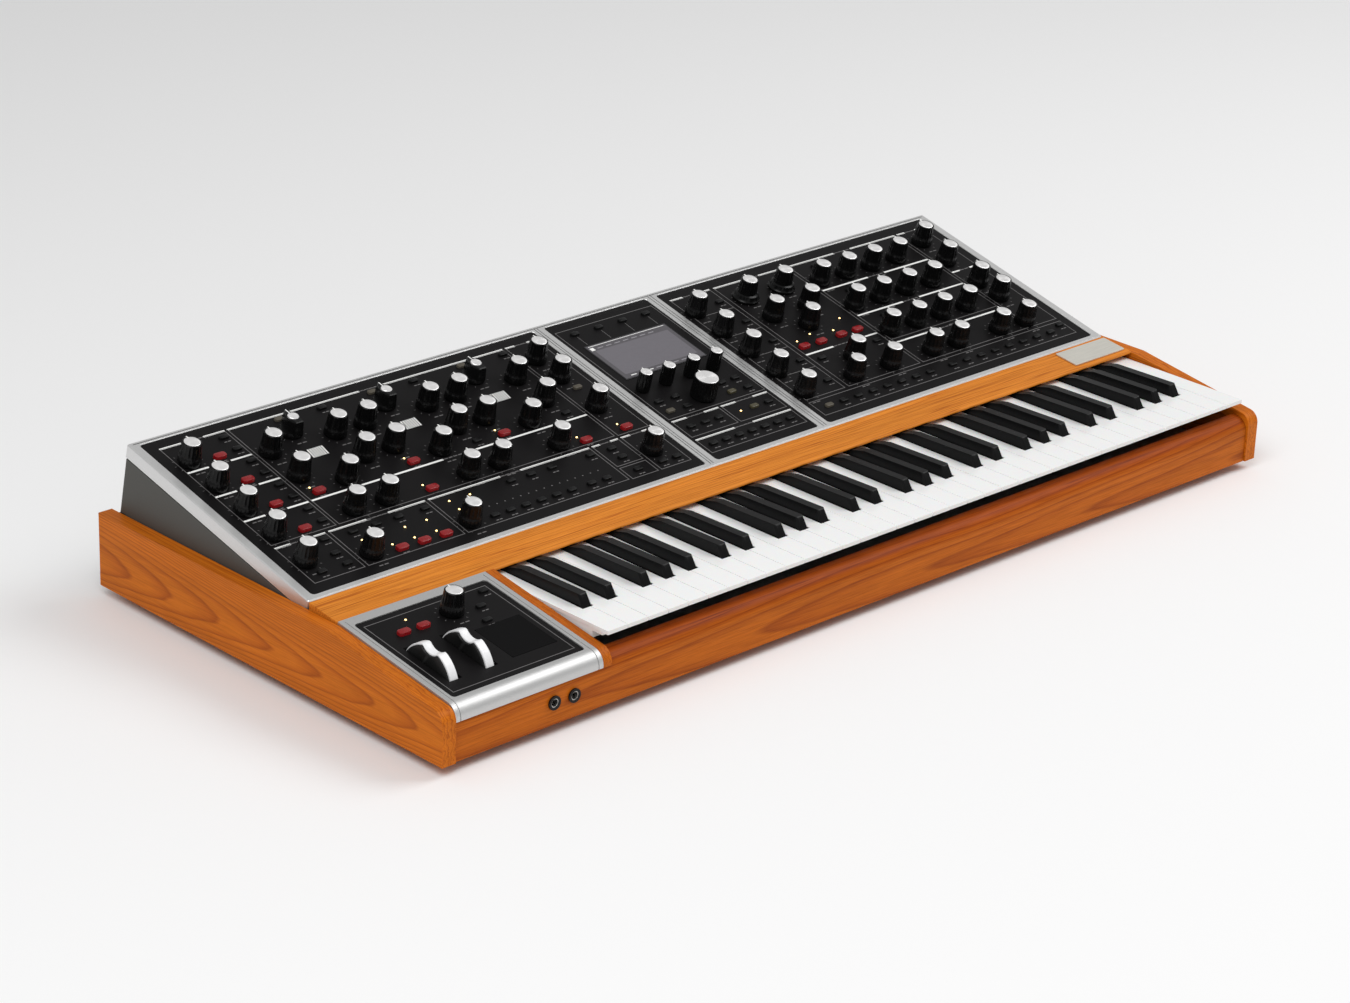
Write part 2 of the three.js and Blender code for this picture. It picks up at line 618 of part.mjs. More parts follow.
// A selector knob: a pointed bar standing on a round skirt.
function addWaveKnob() {
  const { top, height } = WAVE_SKIRT;
  const skirt = turned([...shaftOutline(KNOB.baseRadius), [top, height], [0, height]], SHAFT.sides);
  const bar = raised(polygon(WAVE_OUTLINE), WAVE_BAR.bottom, WAVE_BAR.top);
  const cap = rod(WAVE_BAR.capRadius, WAVE_BAR.top - 1, WAVE_BAR.capTop, 14);
  const mesh = place(upper, 'wave_knob', geometryOf(joined([skirt, bar, cap])), knobBlack);
  mesh.position.set(...WAVE_KNOB_AT, 0);
}

function addPanelControls() {
  addWaveKnob();
  addKnob(upper, 'cutoff_knob', CUTOFF_KNOB_AT, SKIRTED_KNOB);
  addKnob(upper, 'encoder_knob', ENCODER_AT, ENCODER);
  SOFT_KNOB_US.forEach((u, i) => addKnob(upper, `soft_knob_${i + 1}`, [u, SOFT_KNOB_V], SOFT_KNOB));
  const { width, height, rise, sunk, corner } = RED_BUTTON;
  const outline = roundedRect(-width / 2, width / 2, -height / 2, height / 2, corner);
  place(upper, 'red_button', raised(outline, -sunk, rise), redLens).position.set(...RED_BUTTON_AT, 0);
}

// ---------------------------------------------------------------- left-hand panel
const hand = new THREE.Group();
hand.position.set(
  0,
  HAND.rearY - HAND.length * Math.cos(HAND.slope),
  HAND.rearZ - HAND.length * Math.sin(HAND.slope),
);
hand.rotation.x = HAND.slope;
synthesizer.add(hand);

function wheelSlot(x) {
  const halfChord = Math.sqrt(WHEEL.radius ** 2 - WHEEL.drop ** 2) + WHEEL.slotGapV;
  const half = WHEEL.width / 2 + WHEEL.slotGapU;
  return box(x - half, x + half, WHEEL.centreV - halfChord, WHEEL.centreV + halfChord, -20, THROUGH.above);
}

// The hand panel's side outline, moved inwards by inset; an inset outline stops short of its ends.
function handOutline(inset) {
  const short = inset ? HAND.sideWall : 0;
  return nosedOutline({
    rearY: HAND.rearY - short,
    rearZ: HAND.rearZ - inset / Math.cos(HAND.slope) - short * Math.tan(HAND.slope),
    kneeY: HAND.rearY - short,
    noseY: HAND.noseY + inset,
    radius: HAND.noseRadius - inset,
    bottom: HAND.noseFoot - (inset ? 10 : 0),
  });
}

// A tool that cuts a shallow line across the top and over the rolled front.
function capLineTool(x) {
  const { width, depth } = HAND.capLine;
  const around = solid(drawnOut(handOutline(-1), x, x + width));
  return around.subtract(solid(drawnOut(handOutline(depth), x - 1, x + width + 1)));
}

function addHandPanel() {
  const { left, right, skin, sideWall, capLine } = HAND;
  const shell = drawnOut(handOutline(0), left, right);
  const hollow = drawnOut(handOutline(skin), left + sideWall, right - sideWall);
  const { front, rear, ledge } = HAND_PLATE;
  const [plateLeft, plateRight] = [HAND_PLATE.left, HAND_PLATE.right];
  const low = -PLATE.recess - PLATE.thickness;
  const seatOutline = roundedRect(plateLeft - GAP, plateRight + GAP, front - GAP, rear + GAP, PLATE.corner);
  const seat = raised(seatOutline, low - GAP, THROUGH.above);
  const through = box(plateLeft + ledge, plateRight - ledge, front + ledge, rear - ledge, -25, THROUGH.above);
  const toHand = new THREE.Matrix4().compose(hand.position, hand.quaternion, new THREE.Vector3(1, 1, 1));
  seat.applyMatrix4(toHand);
  through.applyMatrix4(toHand);
  const lines = [left + capLine.inset, right - capLine.inset - capLine.width].map(capLineTool);
  const cover = lines.reduce((rest, line) => rest.subtract(line), cut(shell, [hollow, seat, through]));
  place(synthesizer, 'hand_panel', geometryOf(cover), aluminium);

  const plate = raised(roundedRect(plateLeft, plateRight, front, rear, PLATE.corner), low, -PLATE.recess);
  const half = PAD.size / 2 + GAP;
  const padHole = box(PAD.x - half, PAD.x + half, PAD.v - half, PAD.v + half, THROUGH.below, THROUGH.above);
  const tools = [...Object.values(WHEEL_X).map(wheelSlot), shaftHole(HAND_KNOB_AT), padHole];
  place(hand, 'hand_plate', geometryOf(cut(plate, tools)), panelBlack);
}

function addTouchPad() {
  const { x, v, size, sink, corner, flange, depth } = PAD;
  const half = size / 2;
  const wide = half + flange;
  const flangeTop = -PLATE.recess - PLATE.thickness - GAP;
  const pad = joined([
    raised(roundedRect(x - half, x + half, v - half, v + half, corner), flangeTop - GAP, -sink),
    box(x - wide, x + wide, v - wide, v + wide, -depth, flangeTop),
  ]);
  place(hand, 'touch_pad', geometryOf(pad), padBlack);
}

function addWheels() {
  const { radius, width, axle, centreV, drop } = WHEEL;
  const disc = rod(radius, -width / 2, width / 2, 48);
  const hub = rod(axle, -width / 2 - AXLE_END, width / 2 + AXLE_END, 12);
  const dipCentre = radius - WHEEL_DIP.depth + WHEEL_DIP.radius;
  const dip = rod(WHEEL_DIP.radius, -width, width, 32).translate(0, dipCentre, 0);
  const wheel = geometryOf(joined([disc, hub]).subtract(solid(dip)));
  const turn = new THREE.Matrix4().makeBasis(
    new THREE.Vector3(0, 1, 0),
    new THREE.Vector3(0, 0, 1),
    new THREE.Vector3(1, 0, 0),
  );
  wheel.applyMatrix4(turn);
  for (const [name, x] of Object.entries(WHEEL_X)) {
    place(hand, name, wheel.clone(), silver).position.set(x, centreV, -drop);
  }
}

// ---------------------------------------------------------------- badge
function addBadge() {
  const { left, right, front, rear, thickness, corner } = BADGE;
  const startY = STRIP.frontY + STRIP.chamfer;
  const slope = Math.atan2(STRIP.rearTop - STRIP.frontTop, STRIP.rearY - startY);
  const seat = new THREE.Group();
  seat.position.set(0, startY, STRIP.frontTop + GAP);
  seat.rotation.x = slope;
  synthesizer.add(seat);
  const along = (y) => (y - startY) / Math.cos(slope);
  const outline = roundedRect(left, right, along(front), along(rear), corner);
  place(seat, 'badge', raised(outline, 0, thickness), silver);
}

// ---------------------------------------------------------------- keys
const hasBlack = (line) => BLACK_SHIFT[line] !== undefined;
const blackCentre = (line) => line * KEY.pitch + BLACK_SHIFT[line];

// White key number i of an octave; an open right side has no black key beside it.
function whiteKey(i, openRight = false) {
  const reach = BLACK.width / 2 + BLACK.sideGap;
  const x0 = i * KEY.pitch + KEY.clearance / 2;
  const x1 = (i + 1) * KEY.pitch - KEY.clearance / 2;
  const tailLeft = hasBlack(i) ? blackCentre(i) + reach : x0;
  const tailRight = hasBlack(i + 1) && !openRight ? blackCentre(i + 1) - reach : x1;
  const outline = [[x0, KEY.front], [x1, KEY.front]];
  if (tailRight < x1) outline.push([x1, HEAD_END], [tailRight, HEAD_END]);
  outline.push([tailRight, KEY.rear], [tailLeft, KEY.rear]);
  if (tailLeft > x0) outline.push([tailLeft, HEAD_END], [x0, HEAD_END]);
  const top = raised(polygon(outline), KEY.top - KEY.lip, KEY.top);
  const { setback, bottom, inset } = KEY_BODY;
  const body = box(tailLeft + inset, tailRight - inset, KEY.front + setback, KEY.rear, bottom, KEY.top - 1);
  const [ribFront, ribRear] = [KEY.front + KEY_RIB.setback, KEY.front + setback + 1];
  const ribBottom = KEY.top - KEY_RIB.depth;
  const rib = box(x0 + KEY_RIB.inset, x1 - KEY_RIB.inset, ribFront, ribRear, ribBottom, KEY.top - 1);
  return joined([top, body, rib]);
}

// A tool that bevels one upright corner of a black key's nose, following the lean of its front.
function noseBevel(side) {
  const half = BLACK.width / 2;
  const { chamfer } = BLACK_EDGE;
  const corner = polygon([
    [side * half, BLACK.front + chamfer],
    [side * (half - chamfer), BLACK.front],
    [side * (half + 1), BLACK.front - 1],
  ]);
  const wedge = raised(corner, KEY.top, BLACK_TOP.nose + 1);
  const lean = BLACK_TOP.noseBack / (BLACK_TOP.nose - BLACK_EDGE.topDrop - KEY.top);
  const position = wedge.attributes.position;
  for (let n = 0; n < position.count; n += 1) {
    position.setY(n, position.getY(n) + lean * (position.getZ(n) - KEY.top));
  }
  return wedge;
}

// A black key beside white-key line number i, narrower at its top than at its base.
function blackKey(line) {
  const shape = polygon([
    [BLACK.front, BLACK.base],
    [BLACK.rear, BLACK.rearBase],
    [BLACK.rear, BLACK_BAR.top],
    [BLACK_TOP.tailY, BLACK_TOP.tail],
    [BLACK_TOP.shoulderY, BLACK_TOP.shoulder],
    [BLACK.front + BLACK_TOP.noseBack + BLACK_EDGE.topRun, BLACK_TOP.nose],
    [BLACK.front + BLACK_TOP.noseBack, BLACK_TOP.nose - BLACK_EDGE.topDrop],
    [BLACK.front, KEY.top],
  ]);
  const half = BLACK.width / 2;
  const geometry = geometryOf(cut(drawnOut(shape, -half, half), [noseBevel(-1), noseBevel(1)]));
  const position = geometry.attributes.position;
  const narrowing = 1 - BLACK.topWidth / BLACK.width;
  for (let n = 0; n < position.count; n += 1) {
    const height = Math.max(0, position.getZ(n) - KEY.top) / (BLACK_TOP.nose - KEY.top);
    position.setX(n, position.getX(n) * (1 - narrowing * height));
  }
  return solid(geometry.translate(blackCentre(line), 0, 0));
}

function octaveOf(keys, bar) {
  return geometryOf(keys.reduce((sum, key) => sum.add(key), solid(bar)));
}

function addKeys() {
  const lines = Object.keys(BLACK_SHIFT).map(Number);
  for (let octave = 1; octave <= OCTAVES; octave += 1) {
    const group = new THREE.Group();
    group.position.x = KEY.left + (octave - 1) * WHITE_NAMES.length * KEY.pitch;
    synthesizer.add(group);
    if (octave === SINGLE_OCTAVE) {
      WHITE_NAMES.forEach((name, i) => place(group, `key_${name}`, geometryOf(whiteKey(i)), ivory));
      for (const line of lines) {
        place(group, `key_${WHITE_NAMES[line - 1]}_sharp`, geometryOf(blackKey(line)), ebony);
      }
    } else {
      const whites = WHITE_NAMES.map((name, i) => whiteKey(i));
      if (octave === OCTAVES) whites.push(whiteKey(WHITE_NAMES.length, true));
      const { front, rear, bottom, top, endInset } = WHITE_BAR;
      const whiteBar = box(endInset, whites.length * KEY.pitch - endInset, front, rear, bottom, top);
      place(group, `octave_${octave}_white_keys`, octaveOf(whites, whiteBar), ivory);
      const [first, last] = [blackCentre(lines[0]), blackCentre(lines.at(-1))];
      const blackBar = box(first, last, BLACK_BAR.front, BLACK_BAR.rear, BLACK_BAR.bottom, BLACK_BAR.top);
      place(group, `octave_${octave}_black_keys`, octaveOf(lines.map(blackKey), blackBar), ebony);
    }
  }
}

addCheeks();
addFrontRail();
addKeyStripAndBlock();
addBasePan();
addFeet();
addKeybed();
addMainBoard();
addPowerSupply();
addSocketPlate();
addPowerInlet();
addPowerSwitch();
addHeadphoneJacks();
addHousing();
addPanelFrame();
addPlates();
addDisplay();
addPanelBoard();
addPanelControls();
addHandPanel();
addTouchPad();
addKnob(hand, 'hand_knob', HAND_KNOB_AT, KNOB);
addWheels();
addBadge();
addKeys();

export default synthesizer;
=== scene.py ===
"""Looks of a sixty-one-key analogue synthesizer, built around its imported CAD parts.

Lengths in the layout tables are millimetres. A panel's own coordinates are u, to the player's
right, v, up its slope from its front edge, and w, out of its face.
"""

import json
import math

import bmesh
import bpy
from mathutils import Matrix, Vector


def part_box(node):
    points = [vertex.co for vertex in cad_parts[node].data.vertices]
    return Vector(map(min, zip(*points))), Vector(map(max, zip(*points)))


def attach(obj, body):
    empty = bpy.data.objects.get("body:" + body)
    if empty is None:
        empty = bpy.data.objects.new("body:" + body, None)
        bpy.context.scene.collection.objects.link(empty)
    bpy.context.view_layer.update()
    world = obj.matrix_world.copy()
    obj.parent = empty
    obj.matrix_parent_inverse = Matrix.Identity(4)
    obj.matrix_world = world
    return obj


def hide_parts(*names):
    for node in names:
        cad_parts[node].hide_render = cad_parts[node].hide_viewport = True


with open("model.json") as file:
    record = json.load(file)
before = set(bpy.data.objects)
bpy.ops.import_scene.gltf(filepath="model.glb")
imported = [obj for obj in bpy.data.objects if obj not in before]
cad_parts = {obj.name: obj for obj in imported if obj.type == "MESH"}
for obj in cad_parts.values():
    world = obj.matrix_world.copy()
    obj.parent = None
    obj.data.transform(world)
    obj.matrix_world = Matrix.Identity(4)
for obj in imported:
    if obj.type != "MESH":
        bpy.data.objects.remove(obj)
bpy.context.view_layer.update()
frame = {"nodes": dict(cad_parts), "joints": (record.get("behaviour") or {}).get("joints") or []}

MM = 0.001
JOINTS = {joint["child"]: joint for joint in frame["joints"]}
PLATE_W = -0.8  # the black plates lie this far below the aluminium around them

# ---------------------------------------------------------------- layout of the left-hand plate
OSC_PITCH = 107.2
SECTION_PITCH = 40.8
OSC_STARTS = [-401.8 + OSC_PITCH * n for n in range(3)]
SECTIONS = [SECTION_PITCH * n for n in range(4)]

LEFT_KNOBS = [(-477, 213.5 - drop) for drop in SECTIONS] + [(-477, 47.5)]
for start in OSC_STARTS:
    LEFT_KNOBS += [(start, 195), (start, 154), (start + 36.7, 132), (start + 73, 195), (start + 73, 154)]
LEFT_KNOBS += [(u, 91) for u in (-389.4, -352.6, -258.5, -221.6, -150.3)]
LEFT_KNOBS += [(-73.5, 213.4), (-73.5, 178.8), (-74.2, 124.5), (-74.8, 46), (-416.6, 32), (-307, 31)]
WAVE_KNOBS = [(start + 36.9, 213.8) for start in OSC_STARTS]
LEFT_RED = [(-446.7, 209.3 - drop) for drop in SECTIONS]
LEFT_RED += [(start + 2.6, 127.8) for start in OSC_STARTS]
LEFT_RED += [(-303.8, 86.8), (-121.2, 85.4), (-70.5, 85.8), (-386.9, 26.5), (-362.4, 26), (-338.2, 25.5)]
LEFT_SMALL = [(-425, v - drop) for drop in SECTIONS for v in (233, 213)]
LEFT_SMALL += [(-441, 67), (-445, 46), (-472.5, 29.5), (-445, 29.5)]
LEFT_SMALL += [(u, 65) for u in (-411, -385, -360, -330, -230, -206, -181, -134)]
LEFT_SMALL += [(-279 + 18.2 * n, 29) for n in range(6)] + [(-164, 29), (-145.5, 29)]
LEFT_SMALL += [(-313.8, 234), (-206.3, 234), (-96.3, 234.5), (-216, 129.5), (-107.5, 129.5)]
LEFT_SMALL += [(-108, 64.5), (-108, 49.5), (-108, 27.8), (-77.5, 27.8), (-59.5, 27.8)]
LEFT_GREY = [(start + 40.6, 235.5) for start in OSC_STARTS] + [(-67.5, 159)]
LEFT_LAMPS = [(-450.7, 232 - drop) for drop in SECTIONS] + [(u - 4, v + 8.5) for u, v in LEFT_RED[4:]]
LEFT_LAMPS += [(-364, 51), (-339.5, 51), (-411, 52)] + [(u, v) for u in (-302, -278) for v in (51, 65)]
LEFT_DOTS = [(-274 + 9.3 * n, 43) for n in range(15)]
LEFT_HATCHES = [(start + 40.8, 179) for start in OSC_STARTS]
# Outlined boxes as (u from, u to, v from, v to), and the bright bars across them as (u from, u to, v).
LEFT_BOXES = [
    (-488.2, -417, 80, 242),
    (-414.2, -90, 80, 242),
    (-86.8, -48, 79, 242),
    (-488.2, -433.2, 19, 75),
    (-429.8, -321.5, 19, 75),
    (-318, -126.2, 19, 75),
    (-123, -90.5, 39.5, 75),
    (-123, -90.5, 18, 37),
    (-87, -49.2, 18, 75),
]
LEFT_BARS = [(-488.2, -417, v) for v in (242, 201, 160.2, 119.4)]
LEFT_BARS += [(-414.2, -90, 242), (-414.2, -90, 119.4), (-86.8, -48, 242)]
LEFT_BARS += [(-488.2, -433.2, 75), (-429.8, -321.5, 75), (-318, -126.2, 75)]
LEFT_BARS += [(-123, -90.5, 75), (-87, -49.2, 75)]

# ---------------------------------------------------------------- layout of the centre plate
SOFT_US = (-11.1, 18.8, 50.7, 80.8)
CENTRE_TOP = [(u, 232.8) for u in (-6.3, 24.5, 55.5, 86.3)]
CENTRE_SMALL = CENTRE_TOP + [(-11.3, 105.8), (10, 105.8), (10, 88.3)]
CENTRE_SMALL += [(70, 105), (88.8, 105.8), (89.5, 88.3)]
CENTRE_SMALL += [(u, 60) for u in (-11.3, 7, 24.5, 90)] + [(-11.3 + 16.8 * n, 29) for n in range(7)]
CENTRE_GREY = [(-11.3, 89)]
CENTRE_LIT = [(68.8, 89), (71.3, 60)]
CENTRE_LAMPS = [(53.8, 60)]
CENTRE_BOXES = [(-23.3, 103.3, 78.2, 243), (-23.3, 37.5, 45.8, 74)]
CENTRE_BOXES += [(40.5, 101.8, 45.8, 74), (-23.3, 101.8, 17.5, 40.5)]
CENTRE_BARS = [(-23.3, 37.5, 74), (40.5, 101.8, 74), (-23.3, 101.8, 40.5)]
ENCODER = (36.5, 95.4)
SOFT_V = 129
SCREEN = {"u": (-14, 92.5), "v": (148.5, 212), "w": -0.32}

# ---------------------------------------------------------------- layout of the right-hand plate
FILTER_ROWS = (205, 154.3, 103.6)
FILTER_US = [300.8 + 37.3 * n for n in range(4)]
RIGHT_KNOBS = [(135.2, 212.6 - 39 * n) for n in range(5)]
RIGHT_KNOBS += [(204.3, 173.5), (254.3, 174), (229.4, 147.5), (229.4, 82.8), (203.7, 56.7), (254.5, 56.3)]
RIGHT_KNOBS += [(u, v) for v in FILTER_ROWS for u in FILTER_US]
RIGHT_KNOBS += [(315, 57), (351.5, 56.5), (412.7, 56), (451, 56)]
RIGHT_KNOBS += [(464.6, 218), (460.7, 178.2), (461.3, 132.5), (462, 103)]
SKIRTED_KNOBS = [(204.5, 213), (253.9, 212.5)]
RIGHT_RED = [(195.5, 118.4), (218.7, 118), (247.9, 119), (270.7, 119)]
RIGHT_LAMPS = [(196.3, 129.5), (218.8, 134.5), (247, 129.5), (270, 143.8)]
RIGHT_SMALL = [(173.5, v + 6) for v in (212.6, 173.4, 134.5, 95.6, 56.8)]
RIGHT_SMALL += [(197.5, 95.5), (275, 95.5), (482.5, 35.3)]
RIGHT_SMALL += [(u + 18.6, v + 25) for v in FILTER_ROWS for u in FILTER_US[:1]]
RIGHT_SMALL += [(162.5 + 20.2 * n, 29) for n in range(7)] + [(316.3 + 20.8 * n, 29) for n in range(8)]
RIGHT_GREY = [(142.5, 29)]
RIGHT_BOXES = [
    (127.5, 181.3, 45.8, 241.3),
    (186.3, 287.5, 45.8, 241),
    (291.3, 447.5, 45.8, 241),
    (451.3, 490, 45.8, 241),
    (126.3, 490, 17.5, 41.5),
]
RIGHT_THIN_LINES = [(127.5, 181.3, v) for v in (205, 165, 126.5, 87.5)] + [(291.3, 447.5, 91)]
RIGHT_BARS = [(127.5, 181.3, 241.3), (186.3, 287.5, 241), (186.3, 287.5, 106.8)]
RIGHT_BARS += [(291.3, 447.5, v) for v in (241, 190.5, 139.3, 85)] + [(451.3, 490, v) for v in (241, 159.8)]

# ---------------------------------------------------------------- layout of the left-hand panel
HAND_RED = [(-473, 104), (-452, 104)]
HAND_LAMPS = [(-458, 120)]
HAND_SMALL = [(-371, 122), (-389, 104), (-399, 84)]
HAND_BOX = (-496, -363, 13, 129)
HAND_KNOB = (-417, 109.1)
WHEELS = ("pitch_wheel", "mod_wheel")
WHEEL_RADIUS = 31.6
WHEEL_WIDTH = 12
WHEEL_RIM = 8.4
WHEEL_DIP = {"radius": 14, "depth": 5.5}

# ---------------------------------------------------------------- sizes of the small parts
# Each knob's radii at its foot, top and cap, and its height. Flutes start above a smooth sleeve.
KNOBS = {
    "knob_mesh": {"base": 11.5, "top": 8.8, "cap": 7.4, "height": 22},
    "skirted_knob_mesh": {"base": 11.5, "top": 8.8, "cap": 7.4, "height": 22, "skirt": 2.3},
    "soft_knob_mesh": {"base": 8.2, "top": 6.6, "cap": 5.8, "height": 20, "flutes": 14, "sleeve": 0.8},
    "encoder_mesh": {"base": 14.2, "top": 12.2, "cap": 11.1, "height": 21, "flutes": 24, "sleeve": 0.8},
}
FLUTE_DEPTH = 0.55
TICK_RADIUS = 13.2
# Width, depth, height and corner radius of each kind of button.
SMALL_BUTTON = (9.5, 5.2, 2.4, 1.6)
FLAT_BUTTON = (9.5, 5.2, 2.2, 1.6)
RED_BUTTON = (12.4, 7, 3.4, 2.4)
LAMP_RADIUS = 1.0
LINE_WIDTH = 0.7
PRINT_W = (PLATE_W - 0.02, PLATE_W + 0.06)
SOCKET = {"outer": 6.4, "bore": 0.64, "proud": 0.5, "sunk": 1}
REAR_SCREWS = {"count": 8, "inset": 40, "height": 70}

# ---------------------------------------------------------------- studio, in metres, watts and degrees
KEY_LIGHT = {"place": (2.3, -1.3, 2.9), "size": (2.2, 2.2), "power": 62}
FILL_LIGHT = {"place": (-2.3, -1.2, 3.2), "size": (2.6, 2.2), "power": 69}
LIGHT_TARGET = (0, 0, 0.1)
SKY_STRENGTH = 0.42
FLOOR_REACH = 14
CAMERA_PLACE = (-2.2779, -2.2779, 1.3835)
CAMERA_AIM = (0.64525, 0.65786, -0.38842)
CAMERA_ROLL = 2.06
LENS_MM = 99.55
SENSOR_MM = 36


def panel_plane(body, u, v):
    """The matrix from a panel's u, v, w to the row frame, from one knob's own axis."""
    joint = JOINTS[body]
    out = Vector(joint["axis"]).normalized()
    right = Vector((1, 0, 0))
    up = out.cross(right)
    origin = Vector(joint["pos_m"]) - (right * u + up * v) * MM
    matrix = Matrix((right, up, out)).transposed().to_4x4()
    matrix.translation = origin
    return matrix


UPPER = panel_plane("encoder_knob", *ENCODER)
HAND = panel_plane("hand_knob", *HAND_KNOB)


# ---------------------------------------------------------------- node materials
class Nodes:
    """One material's node tree, with short calls for the nodes used here."""

    def __init__(self, name):
        self.material = bpy.data.materials.new(name)
        self.material.use_nodes = True
        self.tree = self.material.node_tree
        self.shader = self.tree.nodes["Principled BSDF"]
        spot = self.tree.nodes.new("ShaderNodeTexCoord")
        self.where = spot.outputs["Object"]
        self.normal = spot.outputs["Normal"]

    def make(self, kind, inputs=(), **settings):
        node = self.tree.nodes.new("ShaderNode" + kind)
        for key, value in settings.items():
            setattr(node, key, value)
        for key, value in dict(inputs).items():
            self.set(node.inputs[key], value)
        return node

    def set(self, socket, value):
        if isinstance(value, bpy.types.NodeSocket):
            self.tree.links.new(value, socket)
        else:
            socket.default_value = value

    def math(self, operation, a, b=0.0):
        node = self.make("Math", {0: a, 1: b}, operation=operation)
        return node.outputs[0]

    def stretched(self, scale):
        return self.make("Mapping", {"Vector": self.where, "Scale": scale}).outputs["Vector"]

    def noise(self, scale, stretch=(1, 1, 1), detail=3.0, rough=0.5):
        inputs = {"Vector": self.stretched(stretch), "Scale": scale, "Detail": detail, "Roughness": rough}
        return self.make("TexNoise", inputs).outputs["Fac"]

    def ramp(self, value, *stops):
        node = self.make("ValToRGB", {"Fac": value})
        band = node.color_ramp.elements
        while len(band) < len(stops):
            band.new(0.5)
        for element, (place, colour) in zip(band, stops):
            element.position = place
            element.color = (*colour, 1)
        return node.outputs["Color"]

    def mix(self, share, a, b):
        node = self.make("Mix", {"Factor": share}, data_type="RGBA")
        self.set(node.inputs[6], a if isinstance(a, bpy.types.NodeSocket) else (*a, 1))
        self.set(node.inputs[7], b if isinstance(b, bpy.types.NodeSocket) else (*b, 1))
        return node.outputs[2]

    def span(self, value, low, high):
        return self.make("MapRange", {"Value": value, "To Min": low, "To Max": high}).outputs["Result"]

    def bump(self, height, strength, distance):
        inputs = {"Height": height, "Strength": strength, "Distance": distance * MM}
        self.set(self.shader.inputs["Normal"], self.make("Bump", inputs).outputs["Normal"])

    def surface(self, **inputs):
        for key, value in inputs.items():
            self.set(self.shader.inputs[key.replace("_", " ")], value)
        return self.material


def wood(name, along, tint, lines, arch=0, rings=0, centre=0, streaky=0.7, shade_above=None):
    """Lacquered wood. along is the grain's axis, 0 for X and 1 for Y. A broad upright face shows nested
    arches: arch sets how sharply they close about the height centre, and rings is how many are met in
    a metre of grain. Other faces show straight lines, so many in a metre across the grain. Above the
    last argument's height the colour is painted darker and redder, as painted shade under the keys'
    overhang."""
    n = Nodes(name)
    apart = n.make("SeparateXYZ", {"Vector": n.where}).outputs
    length, beside, height = apart[along], apart[1 - along], apart[2]
    stretch = (1, 5, 5) if along == 0 else (5, 1, 5)
    drift = n.math("MULTIPLY", n.math("SUBTRACT", n.noise(2.4, stretch, 1.0), 0.5), 0.03)
    level = n.math("SUBTRACT", n.math("ADD", height, drift), centre)
    arched = n.math("MULTIPLY", n.math("MULTIPLY", level, level), arch)
    wander = n.math("MULTIPLY", n.noise(6, stretch, 3.0), 0.07)
    run = n.math("ADD", n.math("SUBTRACT", arched, length), wander)
    ringed_at = n.math("ADD", n.math("MULTIPLY", run, rings), n.math("MULTIPLY", beside, 30))
    uneven = n.math("MULTIPLY", n.noise(6, (0.6, 30, 30) if along == 0 else (30, 0.6, 30), 2.0), 0.012)
    straight_at = n.math("MULTIPLY", n.math("ADD", beside, uneven), lines)
    facing = n.make("SeparateXYZ", {"Vector": n.normal}).outputs[1 - along]
    is_broad = n.math("GREATER_THAN", n.math("ABSOLUTE", facing), 0.6)
    line = n.math("FRACT", n.make("Mix", {0: is_broad, 2: straight_at, 3: ringed_at}).outputs[0])
    pale, middle, dark = tint
    ringed = n.ramp(line, (0.0, pale), (0.42, pale), (0.76, middle), (0.9, dark), (1.0, pale))
    fine = (9, 420, 420) if along == 0 else (420, 9, 420)
    pores = n.noise(3, fine, 5.0, 0.7)
    bands = n.noise(1.2, (2, 90, 90) if along == 0 else (90, 2, 90), 2.0)
    streaks = n.ramp(pores, (0.34, (0.72, 0.64, 0.55)), (0.58, (1.04, 1.03, 1.02)))
    grained = n.make("Mix", {"Factor": streaky}, data_type="RGBA", blend_type="MULTIPLY")
    n.set(grained.inputs[6], ringed)
    n.set(grained.inputs[7], streaks)
    tone = n.math("MULTIPLY", n.span(n.noise(5, stretch, 2.0), 0.88, 1.12), n.span(bands, 0.82, 1.18))
    patchy = n.make("HueSaturation", {"Color": grained.outputs[2], "Value": tone})
    colour = patchy.outputs["Color"]
    # Painted shade: above this height the wood is darkened and reddened, standing in for the shade under
    # the keys' overhang.
    if shade_above:
        edge = {"Value": height, "From Min": shade_above - 0.004, "From Max": shade_above + 0.006}
        is_shaded = n.make("MapRange", edge).outputs["Result"]
        painted_shade = n.mix(is_shaded, (1, 1, 1), (0.66, 0.5, 0.38))
        shaded_colour = n.make("Mix", {"Factor": 1.0}, data_type="RGBA", blend_type="MULTIPLY")
        n.set(shaded_colour.inputs[6], colour)
        n.set(shaded_colour.inputs[7], painted_shade)
        colour = shaded_colour.outputs[2]
    n.bump(pores, 0.2, 0.2)
    material = n.surface(Base_Color=colour, Roughness=n.span(pores, 0.5, 0.36))
    n.shader.inputs["Specular IOR Level"].default_value = 0.1
    return material


